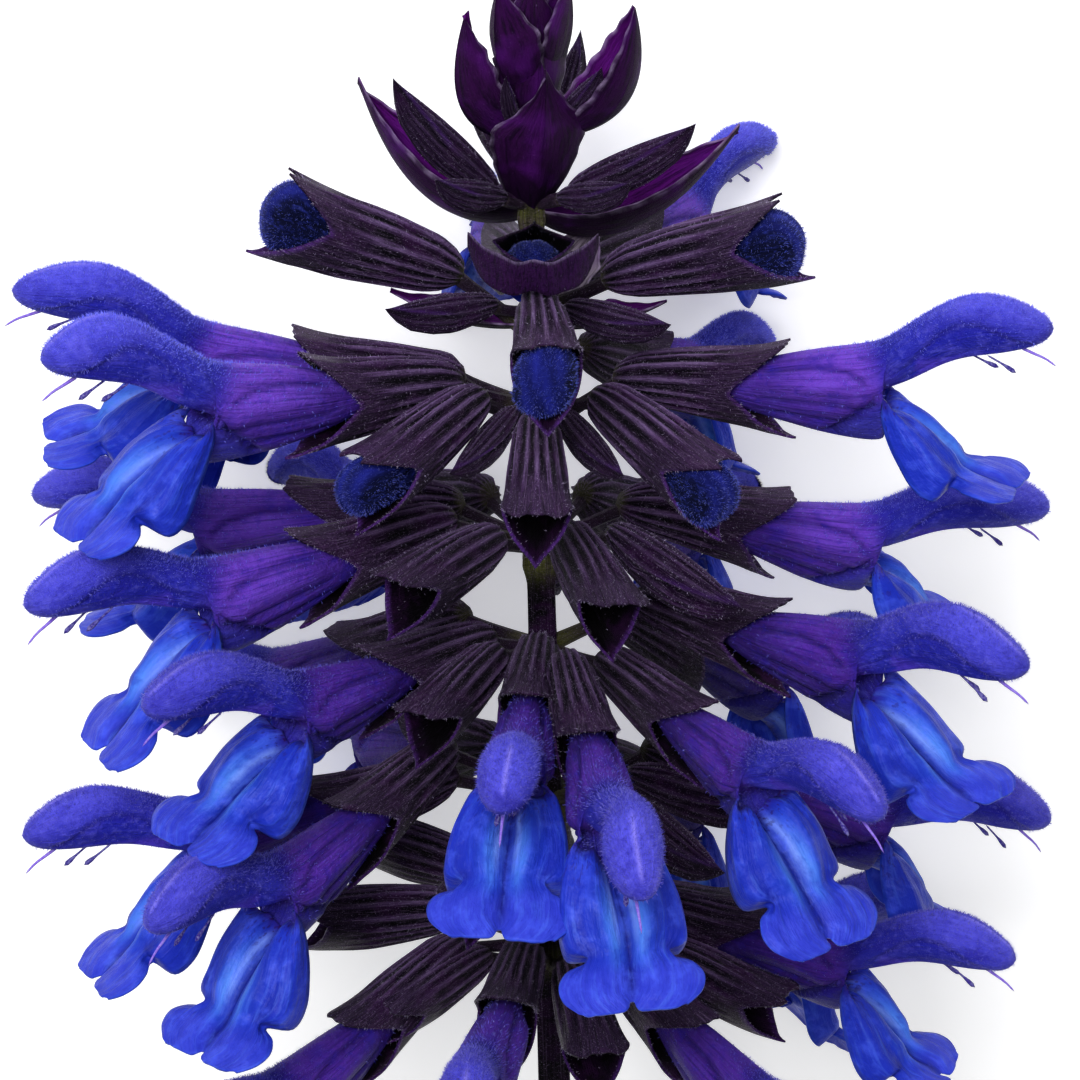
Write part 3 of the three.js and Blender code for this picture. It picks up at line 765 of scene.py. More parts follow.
def closed_body(name):
    """A closed calyx with its ribs and seam."""
    last = CLOSED_CALYX[-1][0]
    ob = rolled(name, CLOSED_SIDES, CLOSED_RINGS)

    def place(ring, angle):
        t = ring / (CLOSED_RINGS - 1)
        x = last * (0.5 - 0.5 * math.cos(math.pi * t)) ** 0.85
        if ring == 0:
            return Vector(CALYX_BASE)
        strength = float(step(0.05, 0.2, t) * (1 - step(0.55, 0.9, t)))
        rib = (float(rib_wave(angle)) - RIB_MIDDLE) * CLOSED_RIB_DEPTH * strength
        return section_point(CLOSED_CALYX, x, angle, 0, rib)

    shape(ob, place)
    close(ob)
    co = points_of(ob)
    away = from_line(co[:, 0], co[:, 2], SEAM)
    co[:, 1] *= 1 - SEAM_DEPTH * bell(0, SEAM_WIDTH, away)
    set_points(ob, co)
    along, turn, _ = kept(ob, "tissue").T
    colour = blend_to(calyx_colour(ob, along, turn), CALYX_FLANK * 0.55, 0.55 * step(0.1, 0.3, along))
    above = co[:, 2] > np.interp(co[:, 0], *zip(*SEAM))
    # Painted shade in the seam's groove; the pale edge above it is pale hairs and a painted highlight.
    colour = blend_to(colour, CALYX_DARK * 0.4, 0.8 * bell(0, 0.3, away))
    colour = blend_to(colour, CALYX_RIM * 1.3, 0.5 * bell(0.5, 0.22, away) * above * step(7, 9, co[:, 0]))
    keep_tint(ob, blend_to(colour, CALYX_PURPLE, 0.3 * step(0.8, 1, along)))
    smooth_faces(ob)
    return ob


closed_calyx = closed_body("closed_calyx")
print("closed calyx:", len(closed_calyx.data.polygons), "faces")

# %% [markdown]
# ## The corolla
#
# The corolla is the coloured flower: a tube that widens to a mouth, a hood arched over it and a lower
# lip. Hood and tube could be two pieces, but a joint would show in the smooth petal, so they are one
# skin. Each ring is given by the point on its dorsal side and the point on its ventral side. At the
# throat the ventral points turn back into the tube, which opens the mouth, and then run on as the
# underside of the hood. A subdivision rounds the few rings, which keeps them easy to change.

# %% Tube and hood: the rings
# x and z on the dorsal side, x and z on the ventral side, half width.
CROWN = [
    (8.4, 0.3, 8.4, 0.3, 0.0),
    (9.2, 1.1, 9.2, -1.0, 0.9),
    (11.5, 1.8, 11.5, -2.2, 1.5),
    (14.0, 2.3, 14.0, -3.2, 1.85),
    (16.2, 2.7, 16.2, -3.95, 2.1),
    (18.4, 3.0, 18.4, -4.7, 2.3),
    (20.4, 3.2, 20.4, -5.2, 2.5),
    (22.2, 3.35, 22.2, -5.55, 2.65),
    (23.7, 3.55, 23.9, -5.75, 2.7),
    (24.7, 3.8, 25.2, -5.6, 2.65),
    (25.2, 4.0, 24.9, -4.7, 2.5),
    (25.6, 4.2, 22.9, -3.6, 2.35),
    (26.1, 4.5, 22.6, -1.9, 2.25),
    (26.8, 4.9, 24.6, -0.95, 2.15),
    (27.8, 5.45, 27.0, -0.2, 2.0),
    (29.2, 6.3, 29.0, 0.8, 2.0),
    (30.8, 7.05, 30.8, 1.6, 2.2),
    (32.5, 7.65, 32.5, 2.0, 2.45),
    (34.3, 7.85, 34.3, 2.2, 2.6),
    (36.1, 7.6, 36.1, 2.35, 2.55),
    (37.8, 7.0, 37.8, 2.6, 2.3),
    (39.3, 6.2, 39.3, 2.9, 1.85),
    (40.5, 5.4, 40.4, 3.4, 1.15),
    (41.1, 4.3, 41.1, 4.3, 0.0),
]
CROWN_SIDES = 18


def ringed_body(name, rings, sides, bow):
    """A smooth skin through rings; bow is how late a ring leaves its dorsal point for its ventral one."""
    ob = rolled(name, sides, len(rings))

    def place(ring, angle):
        top_x, top_z, low_x, low_z, half = rings[ring]
        low = (1 - math.cos(angle)) / 2
        return Vector((
            top_x + (low_x - top_x) * low**bow,
            half * math.sin(angle),
            top_z + (low_z - top_z) * low,
        ))

    shape(ob, place)
    close(ob)
    apply(ob, "SUBSURF", levels=2, render_levels=2)
    return ob


crown = ringed_body("tube_and_hood", CROWN, CROWN_SIDES, bow=2)
print("smooth tube and hood:", len(crown.data.polygons), "faces")

# %% [markdown]
# A petal that was packed in a bud keeps its folds: a swollen tongue on the side of the tube that ends
# in a nose, the pleats that bound it, the diagonal crease below the throat and the arch on the hood.
# They could be bump in the material, but they catch the light from the side and show in the outline.
# So the skin is pushed in and out along its normals, by how near each point lies to a drawn line.

# %% Tube and hood: folds
# Lines on the side of the flower, as x and z.
ARCH = [
    (26.6, 1.2), (28.1, 2.6), (29.8, 4.4), (31.9, 5.5), (33.8, 5.5), (35.5, 4.7), (37.2, 3.7), (39.0, 3.0),
]
CREASE = [(25.4, -0.6), (22.6, -2.7), (19.6, -4.7)]
TONGUE = [(12.0, 0.5), (17.0, 0.2), (21.0, -0.3), (22.6, -0.9)]
PLEATS = [
    [(14.0, -1.1), (18.0, -1.5), (21.4, -1.9), (22.8, -2.2)],
    [(13.0, -2.2), (17.5, -2.9), (20.6, -3.3)],
    [(14.5, 1.5), (19.0, 1.75), (22.0, 1.3), (23.4, 0.3)],
]
TONGUE_SWELL = 0.5
PLEAT_DEPTH = 0.36
CREASE_DEPTH = 0.7
ARCH_DEPTH = 0.34
UNDER_DEPTH = 0.34
KEEL_RISE = 0.1


def fold_crown(ob):
    """Pushes the folds in and out, and returns the share of each for the colours."""
    co, normal = points_of(ob), normals_of(ob)
    x, y, z = co.T
    side = step(0.3, 0.75, np.abs(normal[:, 1]))
    outside = (x < 24.6) | (z > -0.6)
    on_tube = step(12, 16, x) * outside
    tongue = bell(0, 0.95, from_line(x, z, TONGUE)) * on_tube
    pleat = sum(bell(0, 0.24, from_line(x, z, line)) for line in PLEATS) * on_tube
    crease = bell(0, 0.34, from_line(x, z, CREASE)) * outside
    away = from_line(x, z, ARCH)
    on_hood = step(26, 28, x)
    arch = bell(0, 0.26, away) * on_hood
    under = step(0, 0.4, np.interp(x, *zip(*ARCH)) - z) * on_hood
    keel = bell(0, 0.2, y) * step(0.6, 0.95, normal[:, 2]) * on_hood
    push = TONGUE_SWELL * tongue - PLEAT_DEPTH * pleat - CREASE_DEPTH * crease
    push = (push - ARCH_DEPTH * arch - UNDER_DEPTH * under) * side + KEEL_RISE * keel
    set_points(ob, co + normal * push[:, None])
    return pleat * side, crease * side, arch * side, under, keel


crown_folds = fold_crown(crown)
print("folds touch", int((crown_folds[0] + crown_folds[1] + crown_folds[2] > 0.1).sum()), "points")

# %% [markdown]
# The tube is violet and darker below and next to the calyx, the belly under the throat a slaty blue,
# and the hood cobalt with a pale keel, deeper blue on its sides, under its arch and at its neck. All
# that darkening is painted shade, and the belly's darker blue is partly painted shade under the nose.
# One material for each zone would meet in hard lines. Soft steps between kept colours fade as a petal
# does, and the folds found above are darkened as painted shade in the same go.

# %% Tube and hood: colours
TUBE_VIOLET = linear(112, 66, 202)
TUBE_SHADE_PURPLE = linear(40, 14, 112)
BELLY_SLATE = linear(50, 48, 158)
HOOD_BLUE = linear(78, 76, 214)
HOOD_SHADE_BLUE = linear(26, 30, 158)
HOOD_VIOLET = linear(96, 66, 206)
FOLD_SHADE = linear(20, 12, 88)
KEEL_PALE = linear(150, 140, 236)


def colour_crown(ob, pleat, crease, arch, under, keel):
    """Violet along the tube, slate on its belly, blue on the hood; painted shade low on the tube, by the
    calyx, on the hood's sides, under its arch, at its neck and in the folds.
    """
    x, y, z = points_of(ob).T
    # Painted shade: darker low on the tube and next to the calyx.
    colour = blend_to(all_of(ob, TUBE_VIOLET), TUBE_SHADE_PURPLE, 0.8 * (1 - step(-3.6, 1.8, z)))
    colour = blend_to(colour, TUBE_SHADE_PURPLE, 0.6 * (1 - step(14, 20, x)))
    # The belly's slate, partly painted shade under the nose.
    belly = step(0.0, 1.6, (x - 19.2) * 0.58 - z - 3.9) * (1 - step(25, 26.5, x))
    colour = blend_to(colour, BELLY_SLATE, 0.95 * belly)
    on_hood = step(23.5, 27.5, x + 0.5 * z)
    # Painted light and shade: the hood's top stays light, its sides and the part under the arch are darker.
    hood = blend_to(all_of(ob, HOOD_BLUE), HOOD_SHADE_BLUE, 0.85 * (1 - step(4.6, 7.8, z + 0.12 * (x - 33))))
    hood = blend_to(hood, HOOD_SHADE_BLUE, 0.8 * under)
    hood = blend_to(hood, HOOD_VIOLET, 0.5 * (1 - step(1.6, 2.8, z)) * (x > 28))
    hood = blend_to(hood, HOOD_BLUE, 0.6 * step(37, 40, x) * step(3.2, 4.4, z))
    colour = colour + (hood - colour) * on_hood[:, None]
    # Painted shade at the neck and in the folds.
    colour = blend_to(colour, HOOD_SHADE_BLUE, 0.6 * bell(25.8, 1.2, x + 0.3 * z))
    colour = blend_to(colour, FOLD_SHADE, 0.65 * pleat + 0.95 * crease + 0.4 * arch)
    keep_tint(ob, blend_to(colour, KEEL_PALE, 0.6 * keel * step(33, 36, x)))


colour_crown(crown, *crown_folds)
smooth_faces(crown)
print("tube and hood:", len(crown.data.polygons), "faces")

# %% [markdown]
# The lower lip is where the bee lands: a soft sheet that droops from the mouth. Cut out flat and bent,
# it would stretch where its side lobes turn over. So each of its rows is given by three points on one
# side: the groove down its middle, the fold where it turns over into the side lobe, and the free
# margin. The margin starts at the throat, hangs back as an ear and returns to a narrow waist before
# the lip spreads into its notched end lobe. A ridge stands between groove and fold, and a net of
# points is laid through them all on smooth curves.

# %% The lower lip: rows and net
# Each row is a point of the groove, of the fold and of the margin: x and z, then x, y, z twice.
LIP = [
    ((24.0, -4.9), (24.9, 1.8, -2.6), (24.9, 2.3, -1.1)),
    ((25.6, -4.9), (26.2, 2.4, -2.3), (24.8, 3.0, -2.6)),
    ((27.3, -5.0), (27.7, 3.0, -3.1), (25.3, 3.7, -4.5)),
    ((28.9, -5.6), (29.1, 3.5, -4.3), (26.3, 4.4, -6.5)),
    ((30.3, -6.4), (30.2, 3.7, -5.7), (27.8, 4.9, -8.8)),
    ((31.5, -7.3), (31.2, 3.5, -6.8), (29.7, 4.8, -9.9)),
    ((32.5, -8.1), (32.1, 3.1, -7.8), (31.4, 3.6, -8.9)),
    ((33.4, -8.8), (33.3, 3.6, -8.5), (32.5, 5.3, -8.9)),
    ((34.2, -9.4), (34.5, 3.8, -9.3), (33.9, 6.2, -9.4)),
    ((35.0, -10.1), (35.8, 3.6, -10.2), (35.3, 5.9, -10.2)),
    ((35.5, -10.5), (36.7, 2.6, -11.0), (36.3, 4.6, -10.9)),
]
LIP_WAIST = 6
LIP_SHARES = (0, 0.28, 0.55, 0.8, 1)
LIP_NET = (51, 33)
# How far ridge and side lobe swell out, before the waist and past it, and in the row at the notch.
RIDGE_SWELL = (Vector((0.25, 0, 0.7)), Vector((0.1, 0, 0.35)))
LOBE_SWELL = (Vector((0.5, 0.8, 0.3)), Vector((0.1, 0, 0.1)))
NOTCH_RIDGE = Vector((0.75, 0, -0.35))
NOTCH_LOBE = Vector((0.16, 0.12, -0.06))


def lip_row(groove, fold, margin, row):
    """Five points across one half of a row: groove, ridge, fold, lobe and margin."""
    groove, fold, margin = Vector((groove[0], 0, groove[1])), Vector(fold), Vector(margin)
    if row == len(LIP) - 1:
        lobe = fold.lerp(margin, 0.5) + NOTCH_LOBE
        return groove, groove.lerp(fold, 0.22) + NOTCH_RIDGE, fold, lobe, margin
    past_waist = int(row >= LIP_WAIST)
    ridge = groove.lerp(fold, 0.5) + RIDGE_SWELL[past_waist]
    return groove, ridge, fold, fold.lerp(margin, 0.5) + LOBE_SWELL[past_waist], margin


def lip_body():
    """The lip as one sheet through its rows."""
    ob = net("lower_lip", *LIP_NET)
    lines = list(zip(*[lip_row(*row, number) for number, row in enumerate(LIP)]))
    tissue = []
    for vertex in ob.data.vertices:
        along = vertex.co.x / (LIP_NET[0] - 1)
        across = 2 * vertex.co.y / (LIP_NET[1] - 1) - 1
        half = [on_curve(line, along * (len(LIP) - 1)) for line in lines]
        mirrored = half[1] * Vector((1, -1, 1))
        vertex.co = on_curve([mirrored, *half], 1 + float(np.interp(abs(across), LIP_SHARES, range(5))))
        vertex.co.y = math.copysign(vertex.co.y, across)
        tissue.append((along, across, 0))
    keep(ob, "tissue", "FLOAT_VECTOR", tissue)
    ob.data.update()
    return ob


lip = lip_body()
print("bare lip:", len(lip.data.polygons), "faces")

# %% [markdown]
# A petal is never quite flat: it puckers beside its groove and its free edge is ruffled. A cloth
# simulation could do that, but it would fold anew on every change and blur the groove. A few waves
# along and across the sheet give the same look and stay where they are put. The Solidify modifier
# then gives the sheet the thickness of a petal.

# %% The lower lip: ruffles
LIP_THICKNESS = 0.24
GROOVE_DEPTH = 0.36


def ruffle(ob):
    """Folds along the lip, a groove down its middle and a scalloped margin on the end lobe."""
    co, normal = points_of(ob), normals_of(ob)
    along, across, _ = kept(ob, "tissue").T
    share = np.abs(across)
    end = step(0.62, 0.75, along)
    edge = np.maximum(step(0.8, 1, share), step(0.9, 1, along))
    wave = (0.1 * np.sin(17 * along + 4 * across) + 0.05 * np.sin(19 * across)) * edge * end
    folds = 0.2 * np.cos(15 * share + 4 * along) * step(0.1, 0.25, share)
    folds = folds * (1 - end) * (1 - step(0.75, 0.95, share))
    fan = 0.04 * np.cos(30 * across) * end * (1 - step(0.9, 1, share))
    groove = GROOVE_DEPTH * bell(0, 0.07, across) * step(0.08, 0.25, along)
    groove = groove * (1 - 0.4 * step(0.65, 0.9, along))
    set_points(ob, co + normal * (wave + folds + fan - groove)[:, None])


ruffle(lip)
print("the lip reaches", round(float(points_of(lip)[:, 0].max()), 1), "mm out")

# %% [markdown]
# The lip is bright blue, with two pale ridges that guide the bee in, a dark groove between them and a
# dark throat. The pale ridges carry a painted highlight as well, with a teal one beside them, and the
# dark groove, the dark lines along the folds and the line under the side lobe at the waist are painted
# shade. Stripes could be a pattern in the material, but they would not know where the ridges are. The
# shares along and across the sheet do, so the colours are set from those.

# %% The lower lip: colours
LIP_BLUE = linear(28, 46, 172)
LIP_END = linear(44, 56, 186)
LIP_BRIGHT = linear(42, 80, 206)
LIP_PALE = linear(138, 168, 242)
LIP_SHADE = linear(10, 16, 104)
LIP_TEAL_HIGHLIGHT = linear(92, 158, 240)
THROAT_DARK = linear(40, 16, 92)


def colour_lip(ob):
    """Bright blue with two pale ridges and painted highlight beside them, painted shade in the groove, the
    folds and at the waist, a dark throat and a lighter end lobe.
    """
    along, across, _ = kept(ob, "tissue").T
    share = np.abs(across)
    bright = 0.6 * (1 - step(0.2, 0.55, share)) * bell(0.42, 0.26, along)
    colour = blend_to(all_of(ob, LIP_BLUE), LIP_BRIGHT, bright)
    colour = blend_to(colour, LIP_END, step(0.6, 0.8, along))
    ridge = bell(0.12, 0.045, share) * step(0.02, 0.15, along) * (1 - step(0.35, 0.6, along))
    # The pale ridges: pale guides with a painted highlight on them.
    colour = blend_to(colour, LIP_PALE, 0.5 * ridge)
    # Painted highlight beside the ridges.
    colour = blend_to(colour, LIP_TEAL_HIGHLIGHT, 0.45 * bell(0.2, 0.07, share) * bell(0.45, 0.2, along))
    # Painted shade in the groove, along the folds and under the side lobe at the waist.
    colour = blend_to(colour, LIP_SHADE, 0.95 * bell(0, 0.065, across) * (1 - 0.6 * step(0.8, 1, along)))
    colour = blend_to(colour, LIP_SHADE, 0.4 * bell(0.36, 0.06, share) * bell(0.35, 0.2, along))
    colour = blend_to(colour, LIP_SHADE, 0.5 * bell(0.6, 0.06, share) * bell(0.5, 0.16, along))
    colour = blend_to(colour, LIP_SHADE, 0.5 * bell(0.57, 0.04, along) * step(0.35, 0.6, share))
    # Darker at the throat.
    colour = blend_to(colour, THROAT_DARK, 0.8 * (1 - step(0.0, 0.14, along)))
    keep_tint(ob, blend_to(colour, LIP_BRIGHT, 0.35 * np.maximum(step(0.97, 1, share), step(0.98, 1, along))))


colour_lip(lip)
apply(lip, "SOLIDIFY", thickness=LIP_THICKNESS, offset=-1)
smooth_faces(lip)
print("lip:", len(lip.data.polygons), "faces")

# %% [markdown]
# Style and stamens are thin threads tucked under the hood, and their ends peep out. A curve with a
# bevel would draw them too, but it has no points to keep a colour on. So they are tubes rolled along
# a short curve. The style tapers, and each stamen swells into its anther.

# %% Threads under the hood
STYLE_PATH = [(37.6, 0, 2.9), (39.0, 0, 2.2), (40.2, 0, 1.6), (41.2, 0, 0.8)]
STYLE_TINT = linear(120, 88, 200)
STAMENS = [
    [(32.8, 0.6, 2.3), (34.3, 0.6, 1.5), (35.8, 0.7, 0.8)],
    [(34.6, -0.5, 2.3), (36.0, -0.5, 1.5), (37.4, -0.6, 0.6)],
]
STAMEN_TINT = linear(46, 30, 120)
STYLE_RADIUS = 0.17
STYLE_TAPER = 0.09
STAMEN_RADIUS = 0.1
ANTHER_SWELL = 0.12


def thread(name, path, radius, colour, sides=6, rings=8):
    """A round thread along a path; radius takes the share of its length."""
    ob = rolled(name, sides, rings)
    last = len(path) - 1

    def place(ring, angle):
        t = ring / (rings - 1)
        middle = on_curve(path, t * last)
        ahead = on_curve(path, min(t + 0.02, 1) * last) - on_curve(path, max(t - 0.02, 0) * last)
        flat = ahead.cross(Vector((0.31, 0.52, 0.8))).normalized()
        third = ahead.normalized().cross(flat)
        width = 0 if ring in (0, rings - 1) else radius(t)
        return middle + (flat * math.cos(angle) + third * math.sin(angle)) * width

    shape(ob, place)
    close(ob)
    smooth_faces(ob)
    keep_tint(ob, all_of(ob, colour))
    return ob


def style_radius(t):
    """The style tapers to its tip."""
    return STYLE_RADIUS - STYLE_TAPER * t


def stamen_radius(t):
    """A stamen swells into its anther."""
    return STAMEN_RADIUS + ANTHER_SWELL * step(0.5, 0.75, t)


threads = [thread("style", STYLE_PATH, style_radius, STYLE_TINT)]
for path in STAMENS:
    threads.append(thread("stamen", path, stamen_radius, STAMEN_TINT))
threads = joined("threads", threads)
print("threads:", len(threads.data.polygons), "faces")

# %% [markdown]
# In a bud the corolla is still folded: a blunt velvety knob that fills the mouth of its calyx, with
# the fold of the hood over the lip showing on each side. A stretched ball would be too even. The rings
# that gave the tube and hood give it a slope on top and a heavier underside, and the folds are drawn
# in afterwards as before, and darkened as painted shade.

# %% The folded bud
BUD = [
    (6.4, 0.4, 6.4, 0.4, 0.0),
    (7.4, 1.2, 7.4, -1.2, 1.1),
    (10.0, 1.6, 10.0, -2.1, 1.6),
    (12.6, 2.2, 12.6, -3.0, 2.3),
    (14.6, 2.5, 14.6, -3.6, 2.75),
    (16.0, 2.4, 15.9, -3.9, 2.85),
    (17.1, 1.7, 16.8, -3.6, 2.55),
    (17.8, 0.6, 17.4, -2.7, 1.8),
    (18.1, -1.0, 18.1, -1.0, 0.0),
]
BUD_FOLD = [(11.0, 0.2), (13.8, -0.2), (16.0, -0.6), (18.0, -0.9)]
BUD_FOLD_DEPTH = 0.4
BUD_PETAL_DEPTH = 0.1
BUD_SIDES = 20
BUD_NAVY = linear(4, 7, 38)
BUD_BLUE = linear(30, 36, 136)


def bud_body():
    """The knob of folded petals."""
    ob = ringed_body("folded_bud", BUD, BUD_SIDES, bow=1)
    co, normal = points_of(ob), normals_of(ob)
    x, y, z = co.T
    on_side = step(0.45, 0.8, np.abs(normal[:, 1]))
    fold = (bell(0, 0.36, from_line(x, z, BUD_FOLD)) * on_side + 0.3 * bell(0, 0.3, y)) * step(9, 12, x)
    petals = 0.5 + 0.5 * np.cos(3.1 * y + 0.7 * z)
    front = 1 - step(1.2, 2.4, np.abs(y))
    set_points(ob, co - normal * (BUD_FOLD_DEPTH * fold + BUD_PETAL_DEPTH * petals)[:, None])
    colour = blend_to(all_of(ob, BUD_NAVY), BUD_BLUE, (0.25 + 0.6 * petals) * (1 - fold) * front)
    # Painted shade in the folds.
    keep_tint(ob, blend_to(colour, BUD_NAVY * 0.5, 0.6 * fold))
    smooth_faces(ob)
    return ob


folded_bud = bud_body()
print("bud:", len(folded_bud.data.polygons), "faces")

# %% [markdown]
# ## Bracts
#
# A bract is a leaf-like scale below a pair of flowers: widest past its middle, where it has two
# jagged shoulders, and then drawn out to a point. Its halves fold up along the keel, a little in a
# front bract and like the sides of a boat in a side one. One blade could be copied and stretched, but
# that would stretch its thickness and its jagged edge as well. So each is a net laid out at its real
# size. The hollow face is the brighter one.

# %% The bract
# Share of the length, then share of the width in a front bract and in a side one.
BRACT_OUTLINE = [
    (0, 0.15, 0.2), (0.1, 0.42, 0.5), (0.24, 0.68, 0.78), (0.38, 0.84, 0.96), (0.5, 0.94, 1.0),
    (0.6, 1.03, 0.97), (0.65, 0.86, 0.93), (0.75, 0.48, 0.8), (0.87, 0.17, 0.48), (1, 0.02, 0.03),
]
BRACT_NET = (41, 21)
BRACT_TWIST = 0.2
BRACT_CURL = (0.02, 0.1)
BRACT_JAG = 0.03
BRACT_RUCK = 0.05
BRACT_VEIN = 0.22


def bract_sheet(name, length, width, boat, seed):
    """The blade as one sheet with its tip along X, and the phase of the waves along its edge."""
    ob = net(name, *BRACT_NET)
    draw = random.Random(seed)
    twist, curl = draw.uniform(-BRACT_TWIST, BRACT_TWIST), draw.uniform(*BRACT_CURL) + 0.14 * boat**2
    phase = draw.uniform(0, 6)
    spread, lean = 0.25 + 1.1 * boat, 0.1 + 0.38 * boat
    sag = 0.25 + 0.85 * boat**2
    tissue = []
    for vertex in ob.data.vertices:
        t = vertex.co.x / (BRACT_NET[0] - 1)
        v = 2 * vertex.co.y / (BRACT_NET[1] - 1) - 1
        edge = float(step(0.7, 1, abs(v)))
        front_width, side_width = row_at(BRACT_OUTLINE, t)
        half = width / 2 * (front_width + (side_width - front_width) * boat)
        half *= 1 + BRACT_JAG * edge * math.sin(40 * t + phase) * float(step(0.2, 0.5, t))
        turned = lean + spread * abs(v)
        side = math.copysign(half * (math.sin(turned) - math.sin(lean)) / spread, v)
        rise = half * (math.cos(lean) - math.cos(turned)) / spread
        bow = length * (curl * t * t - sag * t * (1 - t))
        ruck = BRACT_RUCK * math.sin(13 * t + 3 * v + phase) * edge + twist * v * t * width * 0.3
        vein = BRACT_VEIN * math.exp(-((v / 0.08) ** 2)) * (1 - 0.6 * t)
        vertex.co = Vector((length * t, side, rise + bow + ruck - vein))
        tissue.append((t, v, 0))
    keep(ob, "tissue", "FLOAT_VECTOR", tissue)
    ob.data.update()
    return ob, phase


print("a bract's net has", BRACT_NET[0] * BRACT_NET[1], "points")

# %% [markdown]
# The blade gets its thickness on one side only, so the first half of its points stays as it was laid
# out and the second half is the new face. The one that comes out narrower is the hollow side, inside
# the fold. It gets the magenta, and both get a dark vein, faint side veins and a broken pale edge.

# %% The bract: thickness and colours
BRACT_THICKNESS = 0.18
BRACT_MAGENTA = linear(94, 18, 120)
BRACT_PURPLE = linear(46, 9, 60)
BRACT_DARK = linear(14, 4, 20)
BRACT_PALE = linear(150, 136, 156)
BRACT_RIM = linear(170, 150, 190)


def bract(name, length, width, boat, shade, seed):
    """One bract with its hollow side up; shade is magenta, purple or pale."""
    ob, phase = bract_sheet(name, length, width, boat, seed)
    count = len(ob.data.vertices)
    apply(ob, "SOLIDIFY", thickness=BRACT_THICKNESS, offset=1)
    along, across, _ = kept(ob, "tissue").T
    share = np.abs(across)
    wide = np.abs(points_of(ob)[:, 1])
    first = np.arange(len(wide)) < count
    hollow = first == (wide[:count].mean() < wide[count:].mean())
    side_veins = (0.5 + 0.5 * np.cos(2 * math.pi * (8 * along - 3.2 * share))) ** 4
    body = BRACT_PALE if shade == "pale" else BRACT_PURPLE
    colour = blend_to(all_of(ob, body), BRACT_DARK, 0.75 * (1 - step(0.1, 0.75, along)) * (shade != "pale"))
    if shade == "magenta":
        colour = blend_to(colour, BRACT_MAGENTA, 0.95 * hollow)
    colour = blend_to(colour, colour * 0.45, 0.6 * bell(0, 0.06, across) + 0.3 * side_veins)
    colour = blend_to(colour, CALYX_GREEN, 0.5 * (1 - step(0, 0.08, along)))
    pale_edge = step(0.965, 1, share) * (0.6 + 0.4 * np.sin(60 * along + phase))
    keep_tint(ob, blend_to(colour, BRACT_RIM, 0.6 * pale_edge))
    smooth_faces(ob)
    return ob


# %% [markdown]
# ## The stem and the pedicels
#
# All sages have a square stem. This one has a groove down each face and a swollen, greener joint at
# every whorl. A bar with bevelled edges would be square, but the grooves and joints are easier as a
# formula: a tube of many rings, whose corners and swellings depend on angle and height.

# %% The stem
JOINT_LENGTH = 1.3
JOINT_SWELL = 0.35
JOINT_GREEN_LENGTH = 1.4
CORNER_SHARPNESS = 0.85
STEM_GROOVE = 0.16
STEM_DARK = linear(5, 4, 5)
STEM_GREEN = linear(110, 112, 58)
STEM_PITH = linear(176, 178, 120)
STEM_RINGS = 150
STEM_SIDES = 24


def stem_body():
    """The square stem from its cut end to the tip."""
    ob = rolled("stem", STEM_SIDES, STEM_RINGS)

    def place(ring, angle):
        t = ring / (STEM_RINGS - 1)
        y = STEM_CUT_Y + (STEM_TIP_Y - STEM_CUT_Y) * (0 if ring == 1 else t)
        half = (STEM_WIDTH + (STEM_TIP_WIDTH - STEM_WIDTH) * t * t) / 2
        joint = max(math.exp(-(((y - at) / JOINT_LENGTH) ** 2)) for at in WHORL_Y.values())
        half *= 1 + JOINT_SWELL * joint * (y < WHORL_Y["w0"] - 2)
        square = half / max(abs(math.cos(angle)), abs(math.sin(angle))) ** CORNER_SHARPNESS
        square *= 1 - STEM_GROOVE * (1 - abs(math.sin(2 * angle))) ** 3
        if ring in (0, STEM_RINGS - 1):
            square = 0
        return stem_point(y) + Vector((square * math.sin(angle), 0, square * math.cos(angle)))

    shape(ob, place)
    close(ob)
    y = points_of(ob)[:, 1]
    joint = np.max([bell(at, JOINT_GREEN_LENGTH, y) for at in WHORL_Y.values()], 0)
    colour = blend_to(all_of(ob, STEM_DARK), STEM_GREEN, 0.7 * joint)
    keep_tint(ob, blend_to(colour, STEM_PITH, 0.9 * (1 - step(0, 0.15, y - STEM_CUT_Y))))
    smooth_faces(ob)
    return ob


stem_master = stem_body()
print("stem:", len(stem_master.data.polygons), "faces")

# %% [markdown]
# A pedicel is the short stalk of one flower. It leaves the joint, bends, and widens again into the foot
# of the calyx. It could run straight, but then the crowded flowers would seem stuck on. The same
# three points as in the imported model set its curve, and it is green only where it leaves the stem.

# %% The pedicels
PEDICEL_PURPLE = linear(44, 30, 48)
PEDICEL_SIDES = 8
PEDICEL_RINGS = 10
PEDICEL_RADIUS = 0.54
PEDICEL_FLARE = 0.3


